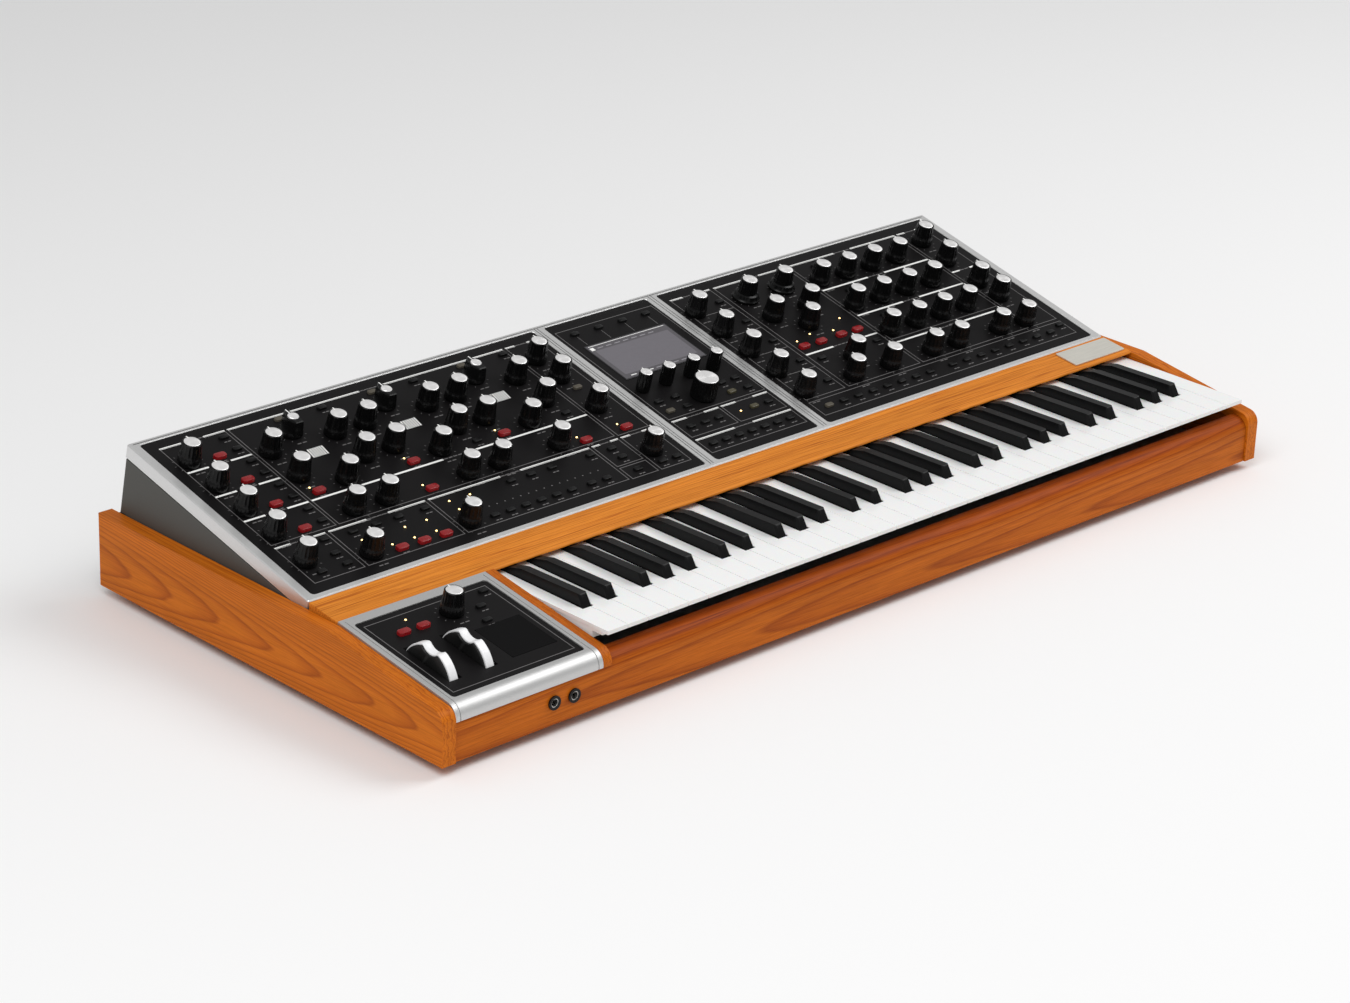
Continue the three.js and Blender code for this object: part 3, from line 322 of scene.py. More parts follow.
def metal(name, colour, rough, brushed=(1, 1, 1), grain=0.12, metallic=0.9, groove_shade_plane=None):
    """Bare or satin metal. The last argument is a plane, as (out, distance): the floors of lines engraved
    0.3 mm or more below it are painted near black, as painted shade in the grooves.
    """
    n = Nodes(name)
    lay = n.noise(900, brushed, 3.0)
    broad = n.noise(7, (1, 1, 1), 2.0)
    tone = n.mix(lay, tuple(c * (1 - grain) for c in colour), tuple(min(1.0, c * 1.05) for c in colour))
    if groove_shade_plane:
        out, distance = groove_shade_plane
        above = n.make("VectorMath", {0: n.where, 1: out}, operation="DOT_PRODUCT").outputs["Value"]
        faces_out = n.make("VectorMath", {0: n.normal, 1: out}, operation="DOT_PRODUCT").outputs["Value"]
        # Painted shade: groove floors sunk below the face and facing out are darkened to near black.
        is_deep = n.math("LESS_THAN", above, distance - 0.3 * MM)
        is_shaded_groove = n.math("MULTIPLY", is_deep, n.math("GREATER_THAN", faces_out, 0.97))
        tone = n.mix(is_shaded_groove, tone, tuple(c * 0.05 for c in colour))
    n.bump(lay, 0.12, 0.05)
    return n.surface(
        Base_Color=tone,
        Roughness=n.math("ADD", n.span(broad, -0.05, 0.05), n.span(lay, rough - 0.05, rough + 0.07)),
        Metallic=metallic,
    )


def painted(name, colour, rough, texture, depth, coat=0.0, shine=0.3):
    """Paint or moulded plastic: texture is how many bumps its fine relief has in a metre."""
    n = Nodes(name)
    relief = n.noise(texture, (1, 1, 1), 3.0)
    smudge = n.noise(9, (1, 1, 1), 3.0)
    lighter = tuple(min(1.0, c * 1.25 + 0.002) for c in colour)
    n.bump(relief, 0.35, depth)
    n.shader.inputs["Specular IOR Level"].default_value = shine
    return n.surface(
        Base_Color=n.mix(n.math("MULTIPLY", n.math("ADD", relief, smudge), 0.5), colour, lighter),
        Roughness=n.span(smudge, rough - 0.06, rough + 0.08),
        Coat_Weight=coat,
        Coat_Roughness=0.1,
    )


def spun_cap():
    """A knob's aluminium cap: fine concentric turning marks, which spread its highlight into a fan."""
    n = Nodes("knob_cap")
    wave = {"Vector": n.where, "Scale": 900.0, "Distortion": 0.4}
    rings = n.make("TexWave", wave, wave_type="RINGS", rings_direction="Z").outputs["Fac"]
    n.bump(rings, 0.15, 0.03)
    tone = n.mix(rings, (0.94, 0.93, 0.925), (1.0, 0.99, 0.985))
    tangent = n.make("Tangent", direction_type="RADIAL", axis="Z").outputs["Tangent"]
    rough = n.span(n.noise(60), 0.26, 0.38)
    return n.surface(Base_Color=tone, Roughness=rough, Metallic=0.6, Anisotropic=0.8, Tangent=tangent)


def glowing(name, colour, strength):
    n = Nodes(name)
    tone = n.mix(n.noise(900), colour, tuple(min(1.0, c * 1.2) for c in colour))
    material = n.surface(Base_Color=tone, Roughness=n.span(n.noise(300), 0.2, 0.35))
    n.shader.inputs["Emission Color"].default_value = (*colour, 1)
    n.shader.inputs["Emission Strength"].default_value = strength
    return material


def translucent_red():
    n = Nodes("red_lens")
    depth = n.noise(500, (1, 1, 1), 2.0)
    material = n.surface(
        Base_Color=n.mix(depth, (0.17, 0.003, 0.005), (0.28, 0.007, 0.010)),
        Roughness=n.span(n.noise(120), 0.22, 0.34),
    )
    n.shader.inputs["Subsurface Weight"].default_value = 0.25
    n.shader.inputs["Subsurface Scale"].default_value = 1.5 * MM
    n.shader.inputs["Emission Color"].default_value = (0.6, 0.005, 0.01, 1)
    n.shader.inputs["Emission Strength"].default_value = 0.04
    return material


def key_white():
    n = Nodes("key_white")
    body = n.noise(14, (1, 0.3, 1), 2.0)
    facing = n.make("SeparateXYZ", {"Vector": n.normal}).outputs[1]
    # Painted shade: faces turned to the front, the lips, get a darker grey-beige than the key tops.
    is_shaded_lip = n.math("LESS_THAN", facing, -0.8)
    n.bump(n.noise(240), 0.04, 0.05)
    material = n.surface(
        Base_Color=n.mix(is_shaded_lip, n.mix(body, (0.96, 0.96, 0.95), (0.98, 0.98, 0.975)), (0.80, 0.79, 0.76)),
        Roughness=n.span(n.noise(30), 0.14, 0.24),
        Coat_Weight=0.3,
        Coat_Roughness=0.06,
    )
    n.shader.inputs["Subsurface Weight"].default_value = 0.08
    n.shader.inputs["Subsurface Scale"].default_value = 1.5 * MM
    return material


ORANGE = ((0.60, 0.158, 0.0085), (0.51, 0.122, 0.0064), (0.39, 0.084, 0.0046))
HONEY = ((0.72, 0.245, 0.028), (0.61, 0.19, 0.02), (0.44, 0.115, 0.011))
RUSSET = ((0.51, 0.127, 0.0074), (0.43, 0.098, 0.0055), (0.33, 0.069, 0.004))
LOOKS = {
    "left_cheek": wood("wood_left_cheek", 1, ORANGE, 240, 420, 15, 0.036),
    "right_cheek": wood("wood_right_cheek", 1, ORANGE, 240, 380, 14, 0.042),
    # The rail's last argument is the height, in metres, above which it gets painted shade under the keys.
    "front_rail": wood("wood_rail", 0, RUSSET, 150, 700, 4.5, 0.024, 1.0, 0.045),
    "key_strip": wood("wood_strip", 0, HONEY, 320, streaky=0.8),
    "key_block": wood("wood_block", 1, RUSSET, 320, streaky=0.8),
}
# The plane of the frame's face; its engraved grooves below it get painted shade.
UPPER_OUT = UPPER.col[2].xyz
FRAME_FACE = (UPPER_OUT, UPPER_OUT.dot(UPPER.translation))
FRAME_METAL = metal("frame_aluminium", (0.75, 0.75, 0.745), 0.38, (1, 1, 1), 0.1, 0.75, FRAME_FACE)
HAND_METAL = metal("hand_aluminium", (0.6, 0.6, 0.595), 0.44, (1, 1, 1), 0.1, 0.7)
BRUSHED = metal("brushed_plate", (0.8, 0.775, 0.7), 0.36, (0.05, 1, 1), 0.2, 0.5)
ZINC = metal("zinc_sheet", (0.5, 0.51, 0.52), 0.45, (1, 0.2, 1), 0.25)
NICKEL = metal("nickel", (0.5, 0.49, 0.47), 0.25, (1, 1, 1), 0.1)
HOUSING = painted("housing_paint", (0.064, 0.063, 0.057), 0.5, 1400, 0.12)
PAN = painted("pan_paint", (0.02, 0.02, 0.02), 0.5, 1200, 0.1)
PANEL = painted("panel_paint", (0.0046, 0.0041, 0.0044), 0.44, 1800, 0.04, 0.0, 0.1)
KEY_WHITE = key_white()
KEY_BLACK = painted("key_black", (0.0022, 0.0022, 0.0024), 0.3, 900, 0.03, 0.0, 0.14)
KNOB_BLACK = painted("knob_black", (0.0024, 0.0024, 0.0025), 0.24, 1500, 0.02, 0.0, 0.2)
SIDE_BLACK = painted("wheel_side", (0.006, 0.006, 0.006), 0.42, 1500, 0.03)
RIM_WHITE = painted("wheel_rim", (0.78, 0.78, 0.79), 0.32, 1100, 0.04, 0.2)
BUTTON_BLACK = painted("button_black", (0.0028, 0.0028, 0.003), 0.36, 1600, 0.03, 0.0, 0.2)
BUTTON_GREY = painted("button_grey", (0.075, 0.066, 0.05), 0.4, 1600, 0.03)
PAD_BLACK = painted("pad_black", (0.0035, 0.0034, 0.0036), 0.6, 2200, 0.05, 0.0, 0.05)
PRINT_WHITE = painted("print_white", (0.80, 0.80, 0.78), 0.5, 2000, 0.02)
PRINT_GREY = painted("print_grey", (0.135, 0.13, 0.13), 0.5, 2000, 0.02)
BOARD = painted("board_green", (0.012, 0.10, 0.04), 0.35, 500, 0.1)
RUBBER = painted("rubber", (0.012, 0.012, 0.012), 0.75, 1500, 0.2)
GLASS = painted("screen_glass", (0.02, 0.019, 0.021), 0.15, 60, 0.02)
SCREEN_GREY = painted("screen_grey", (0.085, 0.08, 0.088), 0.25, 200, 0.02)
SCREEN_PALE = painted("screen_pale", (0.135, 0.127, 0.142), 0.25, 200, 0.02)
SCREEN_MARK = painted("screen_mark", (0.26, 0.25, 0.27), 0.3, 200, 0.02)
CAP = spun_cap()
RED = translucent_red()
LAMP = glowing("lamp_lit", (1.0, 0.66, 0.26), 3.4)
LIT_YELLOW = glowing("button_lit", (0.055, 0.048, 0.025), 0.05)

NODE_LOOKS = {
    "base_pan": PAN,
    "socket_plate": PAN,
    "keybed": ZINC,
    "power_supply": ZINC,
    "main_board": BOARD,
    "panel_board": BOARD,
    "power_inlet": BUTTON_BLACK,
    "power_switch": BUTTON_BLACK,
    "housing": HOUSING,
    "panel_frame": FRAME_METAL,
    "hand_panel": HAND_METAL,
    "left_panel": PANEL,
    "centre_panel": PANEL,
    "right_panel": PANEL,
    "hand_plate": PANEL,
    "display": GLASS,
    "touch_pad": PAD_BLACK,
    "badge": BRUSHED,
    "headphone_jack_left": NICKEL,
    "headphone_jack_right": NICKEL,
    **LOOKS,
}
# How far each kind of node's sharp edges are rounded, in millimetres.
ROUNDING = {
    "left_cheek": 2.6,
    "right_cheek": 2.6,
    "front_rail": 0.6,
    "key_strip": 0.7,
    "key_block": 0.8,
    "panel_frame": 0.15,
    "hand_panel": 0.4,
    "badge": 0.3,
    "housing": 0.4,
}


def look_of(name):
    if "white_keys" in name or (name.startswith("key_") and len(name) == 5):
        return KEY_WHITE, 0.35
    if "black_keys" in name or name.endswith("_sharp"):
        return KEY_BLACK, 0.9
    if name.startswith("foot_"):
        return RUBBER, 0.8
    return NODE_LOOKS.get(name, KNOB_BLACK), ROUNDING.get(name, 0.25)


def dress_nodes():
    for name, node in frame["nodes"].items():
        material, rounding = look_of(name)
        node.data.materials.clear()
        node.data.materials.append(material)
        for face in node.data.polygons:
            face.use_smooth = True
            face.material_index = 0
        weld = node.modifiers.new("weld", "WELD")
        weld.merge_threshold = 0.005 * MM
        bevel = node.modifiers.new("round", "BEVEL")
        bevel.width = rounding * MM
        bevel.segments = 3 if rounding > 0.6 else 2
        bevel.limit_method = "ANGLE"
        bevel.angle_limit = math.radians(32)
        bevel.harden_normals = True
        node.modifiers.new("normals", "WEIGHTED_NORMAL").keep_sharp = True


# ---------------------------------------------------------------- mesh building
class Shell:
    """Closed shapes gathered into one piece."""

    def __init__(self, *materials):
        self.materials = materials
        self.points = []
        self.faces = []
        self.slots = []

    def stack(self, loops, material=0):
        """Joins equal loops of points, one above the other, and closes both ends."""
        first = len(self.points)
        count = len(loops[0])
        for loop in loops:
            self.points += [Vector(p) for p in loop]
        rings = [list(range(first + k * count, first + (k + 1) * count)) for k in range(len(loops))]
        for low, high in zip(rings, rings[1:]):
            for i in range(count):
                j = (i + 1) % count
                self.faces.append((low[i], low[j], high[j], high[i]))
                self.slots.append(material)
        for end in (rings[0][::-1], rings[-1]):
            self.faces.append(tuple(end))
            self.slots.append(material)
        return self

    def box(self, u0, u1, v0, v1, w0, w1, material=0):
        loop = [(u0, v0), (u1, v0), (u1, v1), (u0, v1)]
        return self.stack([[(u, v, w) for u, v in loop] for w in (w0, w1)], material)

    def add(self, other, matrix):
        first = len(self.points)
        self.points += [matrix @ p for p in other.points]
        self.faces += [tuple(first + i for i in face) for face in other.faces]
        self.slots += other.slots
        return self

    def mesh(self, name, crease=35):
        mesh = bpy.data.meshes.new(name)
        mesh.from_pydata([p * MM for p in self.points], [], self.faces)
        for material in self.materials:
            mesh.materials.append(material)
        for face, slot in zip(mesh.polygons, self.slots):
            face.material_index = slot
            face.use_smooth = True
        editing = bmesh.new()
        editing.from_mesh(mesh)
        bmesh.ops.recalc_face_normals(editing, faces=editing.faces)
        editing.to_mesh(mesh)
        editing.free()
        mesh.set_sharp_from_angle(angle=math.radians(crease))
        return mesh

    def piece(self, name, matrix, body="case", slot=None, crease=35):
        return put_piece(name, self.mesh(name, crease), matrix, body)


def put_piece(name, mesh, matrix, body="case"):
    piece = bpy.data.objects.new(name, mesh)
    bpy.context.scene.collection.objects.link(piece)
    piece.matrix_world = matrix
    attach(piece, body)
    return piece


def ring(radius, height, count, wave=0.0, flutes=0):
    points = []
    for i in range(count):
        angle = 2 * math.pi * i / count
        r = radius - wave * (0.5 - 0.5 * math.cos(flutes * angle))
        points.append((r * math.cos(angle), r * math.sin(angle), height))
    return points


def rounded(width, depth, radius, height, inset=0.0, steps=3):
    """The corner-rounded loop of a rectangle centred on the origin."""
    points = []
    corners = ((1, 1, 0), (-1, 1, 90), (-1, -1, 180), (1, -1, 270))
    for sx, sy, start in corners:
        cx, cy = sx * (width / 2 - radius), sy * (depth / 2 - radius)
        for k in range(steps + 1):
            angle = math.radians(start + 90 * k / steps)
            r = radius - inset
            points.append((cx + r * math.cos(angle), cy + r * math.sin(angle), height))
    return points


def at(plane, u, v, w=0.0):
    return plane @ Matrix.Translation(Vector((u, v, w)) * MM)


# ---------------------------------------------------------------- knobs
def turned(count, *profile):
    """The loops of a turned shape, from its radius and height at each step."""
    return [ring(radius, height, count) for radius, height in profile]


def knob_shell(base, top, cap, height, skirt=0.0, flutes=18, sleeve=7.2):
    """A tapered fluted knob: a smooth foot up to the sleeve's height, a spun cap and a white pointer."""
    shell = Shell(KNOB_BLACK, CAP, PRINT_WHITE)
    count = flutes * 4
    foot = base + skirt
    if skirt:
        loops = turned(count, (foot - 0.4, 0), (foot, 0.5), (foot, 2.0), (foot - 0.7, 2.6))
        loops += turned(count, (foot - 1.4, 4.2), (base + 0.2, sleeve - 0.6))
    elif sleeve > 2:
        loops = turned(count, (base - 0.8, 0), (base - 0.6, 0.4), (base - 1.1, sleeve - 0.2))
    else:
        loops = turned(count, (base - 1.7, 0), (base - 1.5, sleeve - 0.4))
    waist = base - 1.4
    loops.append(ring(waist, sleeve + 0.3, count, 0.2, flutes))
    rise = height - 2.2 - sleeve - 1.0
    for step in range(1, 6):
        share = step / 5
        r = waist + (top + 0.15 - waist) * share ** 0.8
        loops.append(ring(r, sleeve + 1.0 + rise * share, count, FLUTE_DEPTH, flutes))
    loops.append(ring(top, height - 1.2, count, 0.2, flutes))
    loops += turned(count, (top - 0.15, height - 0.5), (top - 0.6, height - 0.1))
    loops += turned(count, (cap + 0.15, height - 0.1), (cap + 0.1, height - 0.5))
    shell.stack(loops)
    disc = turned(count, (cap, height - 0.9), (cap, height - 0.1), (cap - 0.35, height + 0.15))
    disc += turned(count, (cap * 0.55, height + 0.18), (cap * 0.1, height + 0.2))
    shell.stack(disc, 1)
    shell.box(-0.5, 0.5, cap - 1.6, top + 0.1, height - 0.3, height + 0.28, 2)
    shell.box(-0.45, 0.45, top - 0.7, top + 0.3, height - 5.0, height - 0.4, 2)
    return shell


def wave_shell():
    """A selector: a pointed bar with a cap, on a round skirt."""
    shell = Shell(KNOB_BLACK, CAP, PRINT_WHITE)
    count = 64
    shell.stack(turned(count, (11.2, 0), (11.5, 0.5), (11.3, 2.6), (10.2, 4.4), (6, 4.7)))
    right_side = [(4.6, -11.6), (5.6, -6), (5.4, 1), (3.4, 8.5), (0.9, 13.6)]
    outline = right_side + [(-x, y) for x, y in reversed(right_side)]
    levels = ((1.0, 3.6), (0.97, 8), (0.92, 14), (0.88, 16.2), (0.8, 17))
    shell.stack([[(x * k, y * k, z) for x, y in outline] for k, z in levels])
    shell.stack(turned(count, (5.2, 16.4), (5.2, 17.5), (4.8, 17.9), (0.6, 18)), 1)
    shell.box(-0.5, 0.5, 4.6, 11.6, 16.6, 17.25, 2)
    return shell


def add_knobs():
    meshes = [knob_shell(**sizes).mesh(name) for name, sizes in KNOBS.items()]
    plain, skirted, soft, big = meshes
    wave = wave_shell().mesh("wave_knob_mesh")

    def knob(name, mesh, plane, spot, moving=None):
        piece = put_piece(name, mesh, at(plane, *spot), moving or "case")
        if moving:
            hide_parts(moving)

    for n, spot in enumerate(LEFT_KNOBS):
        knob(f"left_knob_{n + 1}", plain, UPPER, spot)
    for n, spot in enumerate(RIGHT_KNOBS):
        knob(f"right_knob_{n + 1}", plain, UPPER, spot)
    knob("wave_knob_look", wave, UPPER, WAVE_KNOBS[0], "wave_knob")
    for n, spot in enumerate(WAVE_KNOBS[1:]):
        knob(f"wave_knob_{n + 2}_fixed", wave, UPPER, spot)
    knob("cutoff_knob_look", skirted, UPPER, SKIRTED_KNOBS[0], "cutoff_knob")
    knob("second_cutoff_knob", skirted, UPPER, SKIRTED_KNOBS[1])
    knob("encoder_knob_look", big, UPPER, ENCODER, "encoder_knob")
    for n, u in enumerate(SOFT_US):
        knob(f"soft_knob_{n + 1}_look", soft, UPPER, (u, SOFT_V), f"soft_knob_{n + 1}")
    knob("hand_knob_look", plain, HAND, HAND_KNOB, "hand_knob")


# ---------------------------------------------------------------- buttons, lamps and print
def button_shell(width, depth, height, corner, material):
    """A button with a softened top edge."""
    edge = 0.6
    loops = [rounded(width, depth, corner, -2), rounded(width, depth, corner, height - edge)]
    loops.append(rounded(width, depth, corner, height - edge * 0.3, 0.2))
    loops.append(rounded(width, depth, corner, height, edge))
    return Shell(material).stack(loops)


def lamp_shell():
    """A small domed lamp."""
    angles = [math.radians(a) for a in (0, 25, 50, 75)]
    profile = [(LAMP_RADIUS * math.cos(a), LAMP_RADIUS * math.sin(a) * 0.8) for a in angles]
    return Shell(LAMP).stack(turned(16, *profile))


def scatter(name, shell, plane, spots, slot):
    """One piece holding a copy of a shape at each spot."""
    gathered = Shell(*shell.materials)
    for u, v in spots:
        gathered.add(shell, Matrix.Translation(Vector((u, v, PLATE_W))))
    gathered.piece(name, plane, "case", slot)


def bar(shell, u0, u1, v0, v1, material):
    shell.box(u0, u1, v0, v1, *PRINT_W, material)


def frame_box(shell, u0, u1, v0, v1):
    """The thin outline of a box."""
    bar(shell, u0, u1, v0, v0 + LINE_WIDTH, 1)
    bar(shell, u0, u1, v1 - LINE_WIDTH, v1, 1)
    bar(shell, u0, u0 + LINE_WIDTH, v0 + LINE_WIDTH, v1 - LINE_WIDTH, 1)
    bar(shell, u1 - LINE_WIDTH, u1, v0 + LINE_WIDTH, v1 - LINE_WIDTH, 1)


def title_bar(shell, u0, u1, v):
    """A bright bar whose middle gives way to a few dim dashes in place of a title."""
    title = min(22.0, (u1 - u0) * 0.34)
    middle = (u0 + u1) / 2
    bar(shell, u0, middle - title / 2 - 1, v - 1.1, v + 1.1, 0)
    bar(shell, middle + title / 2 + 1, u1, v - 1.1, v + 1.1, 0)
    dashes = max(2, int(title / 5))
    for n in range(dashes):
        left = middle - title / 2 + n * title / dashes
        bar(shell, left, left + title / dashes - 1.2, v - 0.6, v + 0.6, 1)


def caption(shell, u, v, width=10.0):
    """Two dim dashes in place of a printed name."""
    bar(shell, u - width / 2, u - width * 0.08, v - 0.55, v + 0.55, 1)
    bar(shell, u + width * 0.06, u + width / 2, v - 0.55, v + 0.55, 1)


def hatch(shell, u, v):
    """A patch of close slanting white strokes, like a printed waveform."""
    half_height, slant, stroke, gap = 6.5, 1.6, 1.5, 2.6
    for n in range(7):
        left = u - 9 + n * gap
        foot = [(left, v - half_height), (left + stroke, v - half_height)]
        head = [(x + slant, v + half_height) for x, _ in reversed(foot)]
        shell.stack([[(x, y, w) for x, y in foot + head] for w in PRINT_W], 0)


def scale_marks(shell, u, v, radius):
    """Tick marks round a knob, from its lowest setting to its highest."""
    tick = [(radius, -0.25), (radius + 1.7, -0.25), (radius + 1.7, 0.25), (radius, 0.25)]
    for n in range(11):
        angle = math.radians(240 - 30 * n)
        c, s = math.cos(angle), math.sin(angle)
        spun = [(u + x * c - y * s, v + x * s + y * c) for x, y in tick]
        shell.stack([[(x, y, w) for x, y in spun] for w in PRINT_W], 1)


def add_print(name, plane, boxes=(), bars=(), lines=(), knobs=(), buttons=(), hatches=(), dots=()):
    shell = Shell(PRINT_WHITE, PRINT_GREY)
    for spot in boxes:
        frame_box(shell, *spot)
    for spot in lines:
        bar(shell, spot[0], spot[1], spot[2] - LINE_WIDTH / 2, spot[2] + LINE_WIDTH / 2, 1)
    for spot in bars:
        title_bar(shell, *spot)
    for u, v in knobs:
        scale_marks(shell, u, v, TICK_RADIUS)
        caption(shell, u, v - 17.5)
    for u, v in buttons:
        caption(shell, u, v - 6.3, 7)
    for spot in hatches:
        hatch(shell, *spot)
    for u, v in dots:
        bar(shell, u - 0.6, u + 0.6, v - 0.6, v + 0.6, 1)
    shell.piece(name, plane, "case", "panel")


def add_buttons():
    small = button_shell(*SMALL_BUTTON, BUTTON_BLACK)
    grey = button_shell(*FLAT_BUTTON, BUTTON_GREY)
    lit = button_shell(*FLAT_BUTTON, LIT_YELLOW)
    red = button_shell(*RED_BUTTON, RED)
    lamp = lamp_shell()
    moving_red = (OSC_STARTS[0] + 2.6, 127.8)
    still_red = [spot for spot in LEFT_RED if spot != moving_red]
    scatter("left_small_buttons", small, UPPER, LEFT_SMALL, "knob")
    scatter("centre_small_buttons", small, UPPER, CENTRE_SMALL, "knob")
    scatter("right_small_buttons", small, UPPER, RIGHT_SMALL, "knob")
    scatter("hand_small_buttons", small, HAND, HAND_SMALL, "knob")
    scatter("grey_buttons", grey, UPPER, LEFT_GREY + CENTRE_GREY + RIGHT_GREY, "knob")
    scatter("lit_buttons", lit, UPPER, CENTRE_LIT, "knob")
    scatter("left_red_buttons", red, UPPER, still_red, "red")
    scatter("right_red_buttons", red, UPPER, RIGHT_RED, "red")
    scatter("hand_red_buttons", red, HAND, HAND_RED, "red")
    scatter("left_lamps", lamp, UPPER, LEFT_LAMPS, "screen")
    scatter("centre_lamps", lamp, UPPER, CENTRE_LAMPS, "screen")
    scatter("right_lamps", lamp, UPPER, RIGHT_LAMPS, "screen")
    scatter("hand_lamps", lamp, HAND, HAND_LAMPS, "screen")
    pressed = red.piece("red_button_look", at(UPPER, *moving_red, PLATE_W), "red_button", "red")
    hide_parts("red_button")


def add_all_print():
    every_left = LEFT_KNOBS + WAVE_KNOBS
    buttons = LEFT_SMALL + LEFT_RED
    add_print("left_print", UPPER, LEFT_BOXES, LEFT_BARS, (), every_left, buttons, LEFT_HATCHES, LEFT_DOTS)
    leads = Shell(PRINT_WHITE, PRINT_GREY)
    for u, v in CENTRE_TOP:
        bar(leads, u - 0.25, u + 0.25, SCREEN["v"][1] + 2, v - 4, 1)
    leads.piece("screen_lead_lines", UPPER, "case", "panel")
    add_print("centre_print", UPPER, CENTRE_BOXES, CENTRE_BARS, (), (), CENTRE_SMALL[4:])
    every_right = RIGHT_KNOBS + SKIRTED_KNOBS
    add_print("right_print", UPPER, RIGHT_BOXES, RIGHT_BARS, RIGHT_THIN_LINES, every_right, RIGHT_SMALL)
    add_print("hand_print", HAND, [HAND_BOX], (), (), [HAND_KNOB], HAND_SMALL)


# ---------------------------------------------------------------- screen, wheels and fittings
def add_screen():
    """What the screen shows: a pale field with bright marks along its edges."""
    shell = Shell(SCREEN_GREY, SCREEN_PALE, PRINT_WHITE, SCREEN_MARK)
    (u0, u1), (v0, v1) = SCREEN["u"], SCREEN["v"]

    def patch(a, b, c, d, lift, material):
        shell.box(a, b, c, d, SCREEN["w"], SCREEN["w"] + 0.02 + lift, material)

    patch(u0 + 1.5, u1 - 1.5, v0 + 1.5, v1 - 1.5, 0.05, 0)
    patch(u0 + 6, u1 - 6, v0 + 8, v1 - 11, 0.09, 1)
    patch(u0 + 4, u1 - 4, v1 - 3.4, v1 - 2.7, 0.1, 2)
    patch(u0 + 3.4, u0 + 8, v1 - 10, v1 - 5.4, 0.1, 2)
    for n in range(7):
        left = u0 + 12 + n * 11
        patch(left, left + 7, v1 - 8.4, v1 - 7.2, 0.1, 3)
        patch(left - 2, left + 5, v0 + 4, v0 + 5.2, 0.1, 2 if n < 3 else 3)
    shell.piece("screen_picture", UPPER, "case", "screen")


def wheel_radius(angle):
    """The rim's radius at an angle from its top, with the finger dip worked in."""
    centre = WHEEL_RADIUS - WHEEL_DIP["depth"] + WHEEL_DIP["radius"]
    reach = (WHEEL_DIP["radius"] / centre) ** 2 - math.sin(angle) ** 2
    if abs(angle) > 1 or reach <= 0:
        return WHEEL_RADIUS
    inside = centre * (math.cos(angle) - math.sqrt(reach))
    return min(WHEEL_RADIUS, inside)


def wheel_shell(count=144):
    """A wheel on edge: black sides, and a white rim with softened edges."""
    shell = Shell(SIDE_BLACK, RIM_WHITE)
    angles = [2 * math.pi * i / count for i in range(count)]

    def loop(x, inset):
        points = []
        for angle in angles:
            signed = (angle + math.pi) % (2 * math.pi) - math.pi
            r = wheel_radius(signed) - inset
            points.append((x, r * math.sin(signed), r * math.cos(signed)))
        return points

    half = WHEEL_WIDTH / 2
    shell.stack([loop(x, 2.2 if abs(x) == half else 1.6) for x in (-half, -half + 0.5, half - 0.5, half)])
    rim = WHEEL_RIM / 2
    left_edge = [loop(-rim, 2.6), loop(-rim, 0.5), loop(-rim + 0.5, 0.05)]
    right_edge = [loop(rim - 0.5, 0.05), loop(rim, 0.5), loop(rim, 2.6)]
    shell.stack(left_edge + right_edge, 1)
    return shell


def add_wheels():
    shell = wheel_shell()
    for body in WHEELS:
        joint = JOINTS[body]
        centre = Matrix.Translation(Vector(joint["pos_m"]))
        tilt = HAND.to_3x3().normalized().to_4x4()
        piece = shell.piece(body + "_look", centre @ tilt, body, "wheel", 40)
        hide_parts(body)


def add_socket_trim():
    """The black collar around each headphone socket."""
    shell = Shell(BUTTON_BLACK)
    count = 40
    angles = [2 * math.pi * i / count for i in range(count)]
    for side in ("left", "right"):
        low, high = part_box(f"headphone_jack_{side}")
        x, y, z = (low.x + high.x) / 2 / MM, low.y / MM, (low.z + high.z) / 2 / MM
        outer = [(x + SOCKET["outer"] * math.cos(a), z + SOCKET["outer"] * math.sin(a)) for a in angles]
        inner = [(x + (p - x) * SOCKET["bore"], z + (q - z) * SOCKET["bore"]) for p, q in outer]
        back, face = y + SOCKET["sunk"], y - SOCKET["proud"]
        first = len(shell.points)
        for ring_points, depth in ((outer, back), (outer, face), (inner, face), (inner, back)):
            shell.points += [Vector((p, depth, q)) for p, q in ring_points]
        for k in range(4):
            for i in range(count):
                j = (i + 1) % count
                a, b = first + k * count, first + (k + 1) % 4 * count
                shell.faces.append((a + i, a + j, b + j, b + i))
                shell.slots.append(0)
    shell.piece("headphone_socket_collars", Matrix.Identity(4), "case", "knob")


def add_screws():
    """Pan-head screws along the rear wall."""
    shell = Shell(ZINC)
    low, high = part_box("base_pan")
    facing_rear = Matrix.Rotation(math.radians(-90), 4, "X")
    screw = Shell(ZINC).stack(turned(20, (3, -0.5), (3, 0.4), (2.4, 1.2), (1, 1.5)))
    count, inset = REAR_SCREWS["count"], REAR_SCREWS["inset"]
    pitch = ((high.x - low.x) / MM - 2 * inset) / (count - 1)
    for n in range(count):
        spot = Vector((low.x / MM + inset + n * pitch, high.y / MM, REAR_SCREWS["height"]))
        shell.add(screw, Matrix.Translation(spot) @ facing_rear)
    shell.piece("rear_screws", Matrix.Identity(4), "case", "chassis")


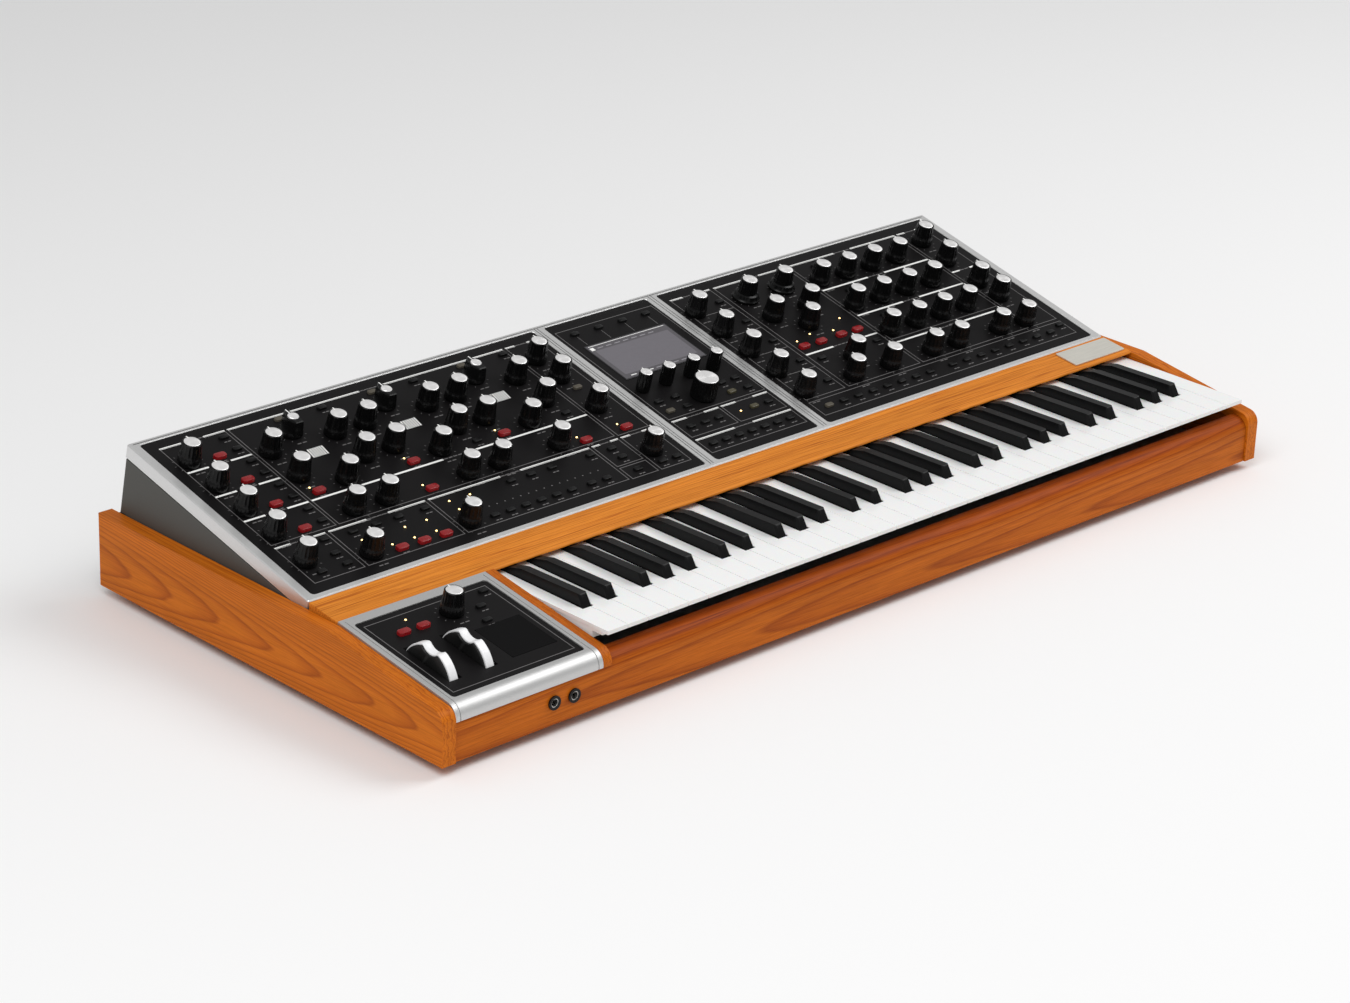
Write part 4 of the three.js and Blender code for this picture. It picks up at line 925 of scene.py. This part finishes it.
# ---------------------------------------------------------------- stage, light and camera
def add_floor():
    mesh = bpy.data.meshes.new("floor")
    corners = [(x * FLOOR_REACH, y * FLOOR_REACH, 0) for x, y in ((-1, -1), (1, -1), (1, 1), (-1, 1))]
    mesh.from_pydata(corners, [], [(0, 1, 2, 3)])
    paint = Nodes("floor_paint")
    paint.bump(paint.noise(300), 0.1, 0.02)
    mesh.materials.append(paint.surface(Base_Color=(0.94, 0.94, 0.94, 1), Roughness=0.7))
    floor = bpy.data.objects.new("floor", mesh)
    bpy.context.scene.collection.objects.link(floor)


def add_light(name, place, size, power):
    data = bpy.data.lights.new(name, "AREA")
    data.shape = "RECTANGLE"
    data.size, data.size_y = size
    data.energy = power
    light = bpy.data.objects.new(name, data)
    bpy.context.scene.collection.objects.link(light)
    light.location = place
    light.rotation_euler = (Vector(LIGHT_TARGET) - Vector(place)).to_track_quat("-Z", "Y").to_euler()


def add_studio():
    world = bpy.data.worlds.new("studio")
    world.use_nodes = True
    sky = world.node_tree.nodes["Background"]
    sky.inputs["Color"].default_value = (1, 1, 1, 1)
    sky.inputs["Strength"].default_value = SKY_STRENGTH
    bpy.context.scene.world = world
    add_light("key_light", **KEY_LIGHT)
    add_light("fill_light", **FILL_LIGHT)


def add_camera():
    """The photograph's view: from the front left, a little above, with a slight roll."""
    data = bpy.data.cameras.new("camera")
    data.sensor_width = SENSOR_MM
    data.lens = LENS_MM
    camera = bpy.data.objects.new("camera", data)
    bpy.context.scene.collection.objects.link(camera)
    camera.rotation_mode = "QUATERNION"
    camera.location = CAMERA_PLACE
    facing = Vector(CAMERA_AIM).to_track_quat("-Z", "Y").to_matrix()
    roll = Matrix.Rotation(math.radians(CAMERA_ROLL), 3, "Z")
    camera.rotation_quaternion = (facing @ roll).to_quaternion()
    data.clip_start, data.clip_end = 0.1, 60
    bpy.context.scene.camera = camera


add_camera()
add_studio()
add_floor()
bpy.context.scene.view_settings.view_transform = "Standard"
dress_nodes()
add_knobs()
add_buttons()
add_all_print()
add_screen()
add_wheels()
add_socket_trim()
add_screws()
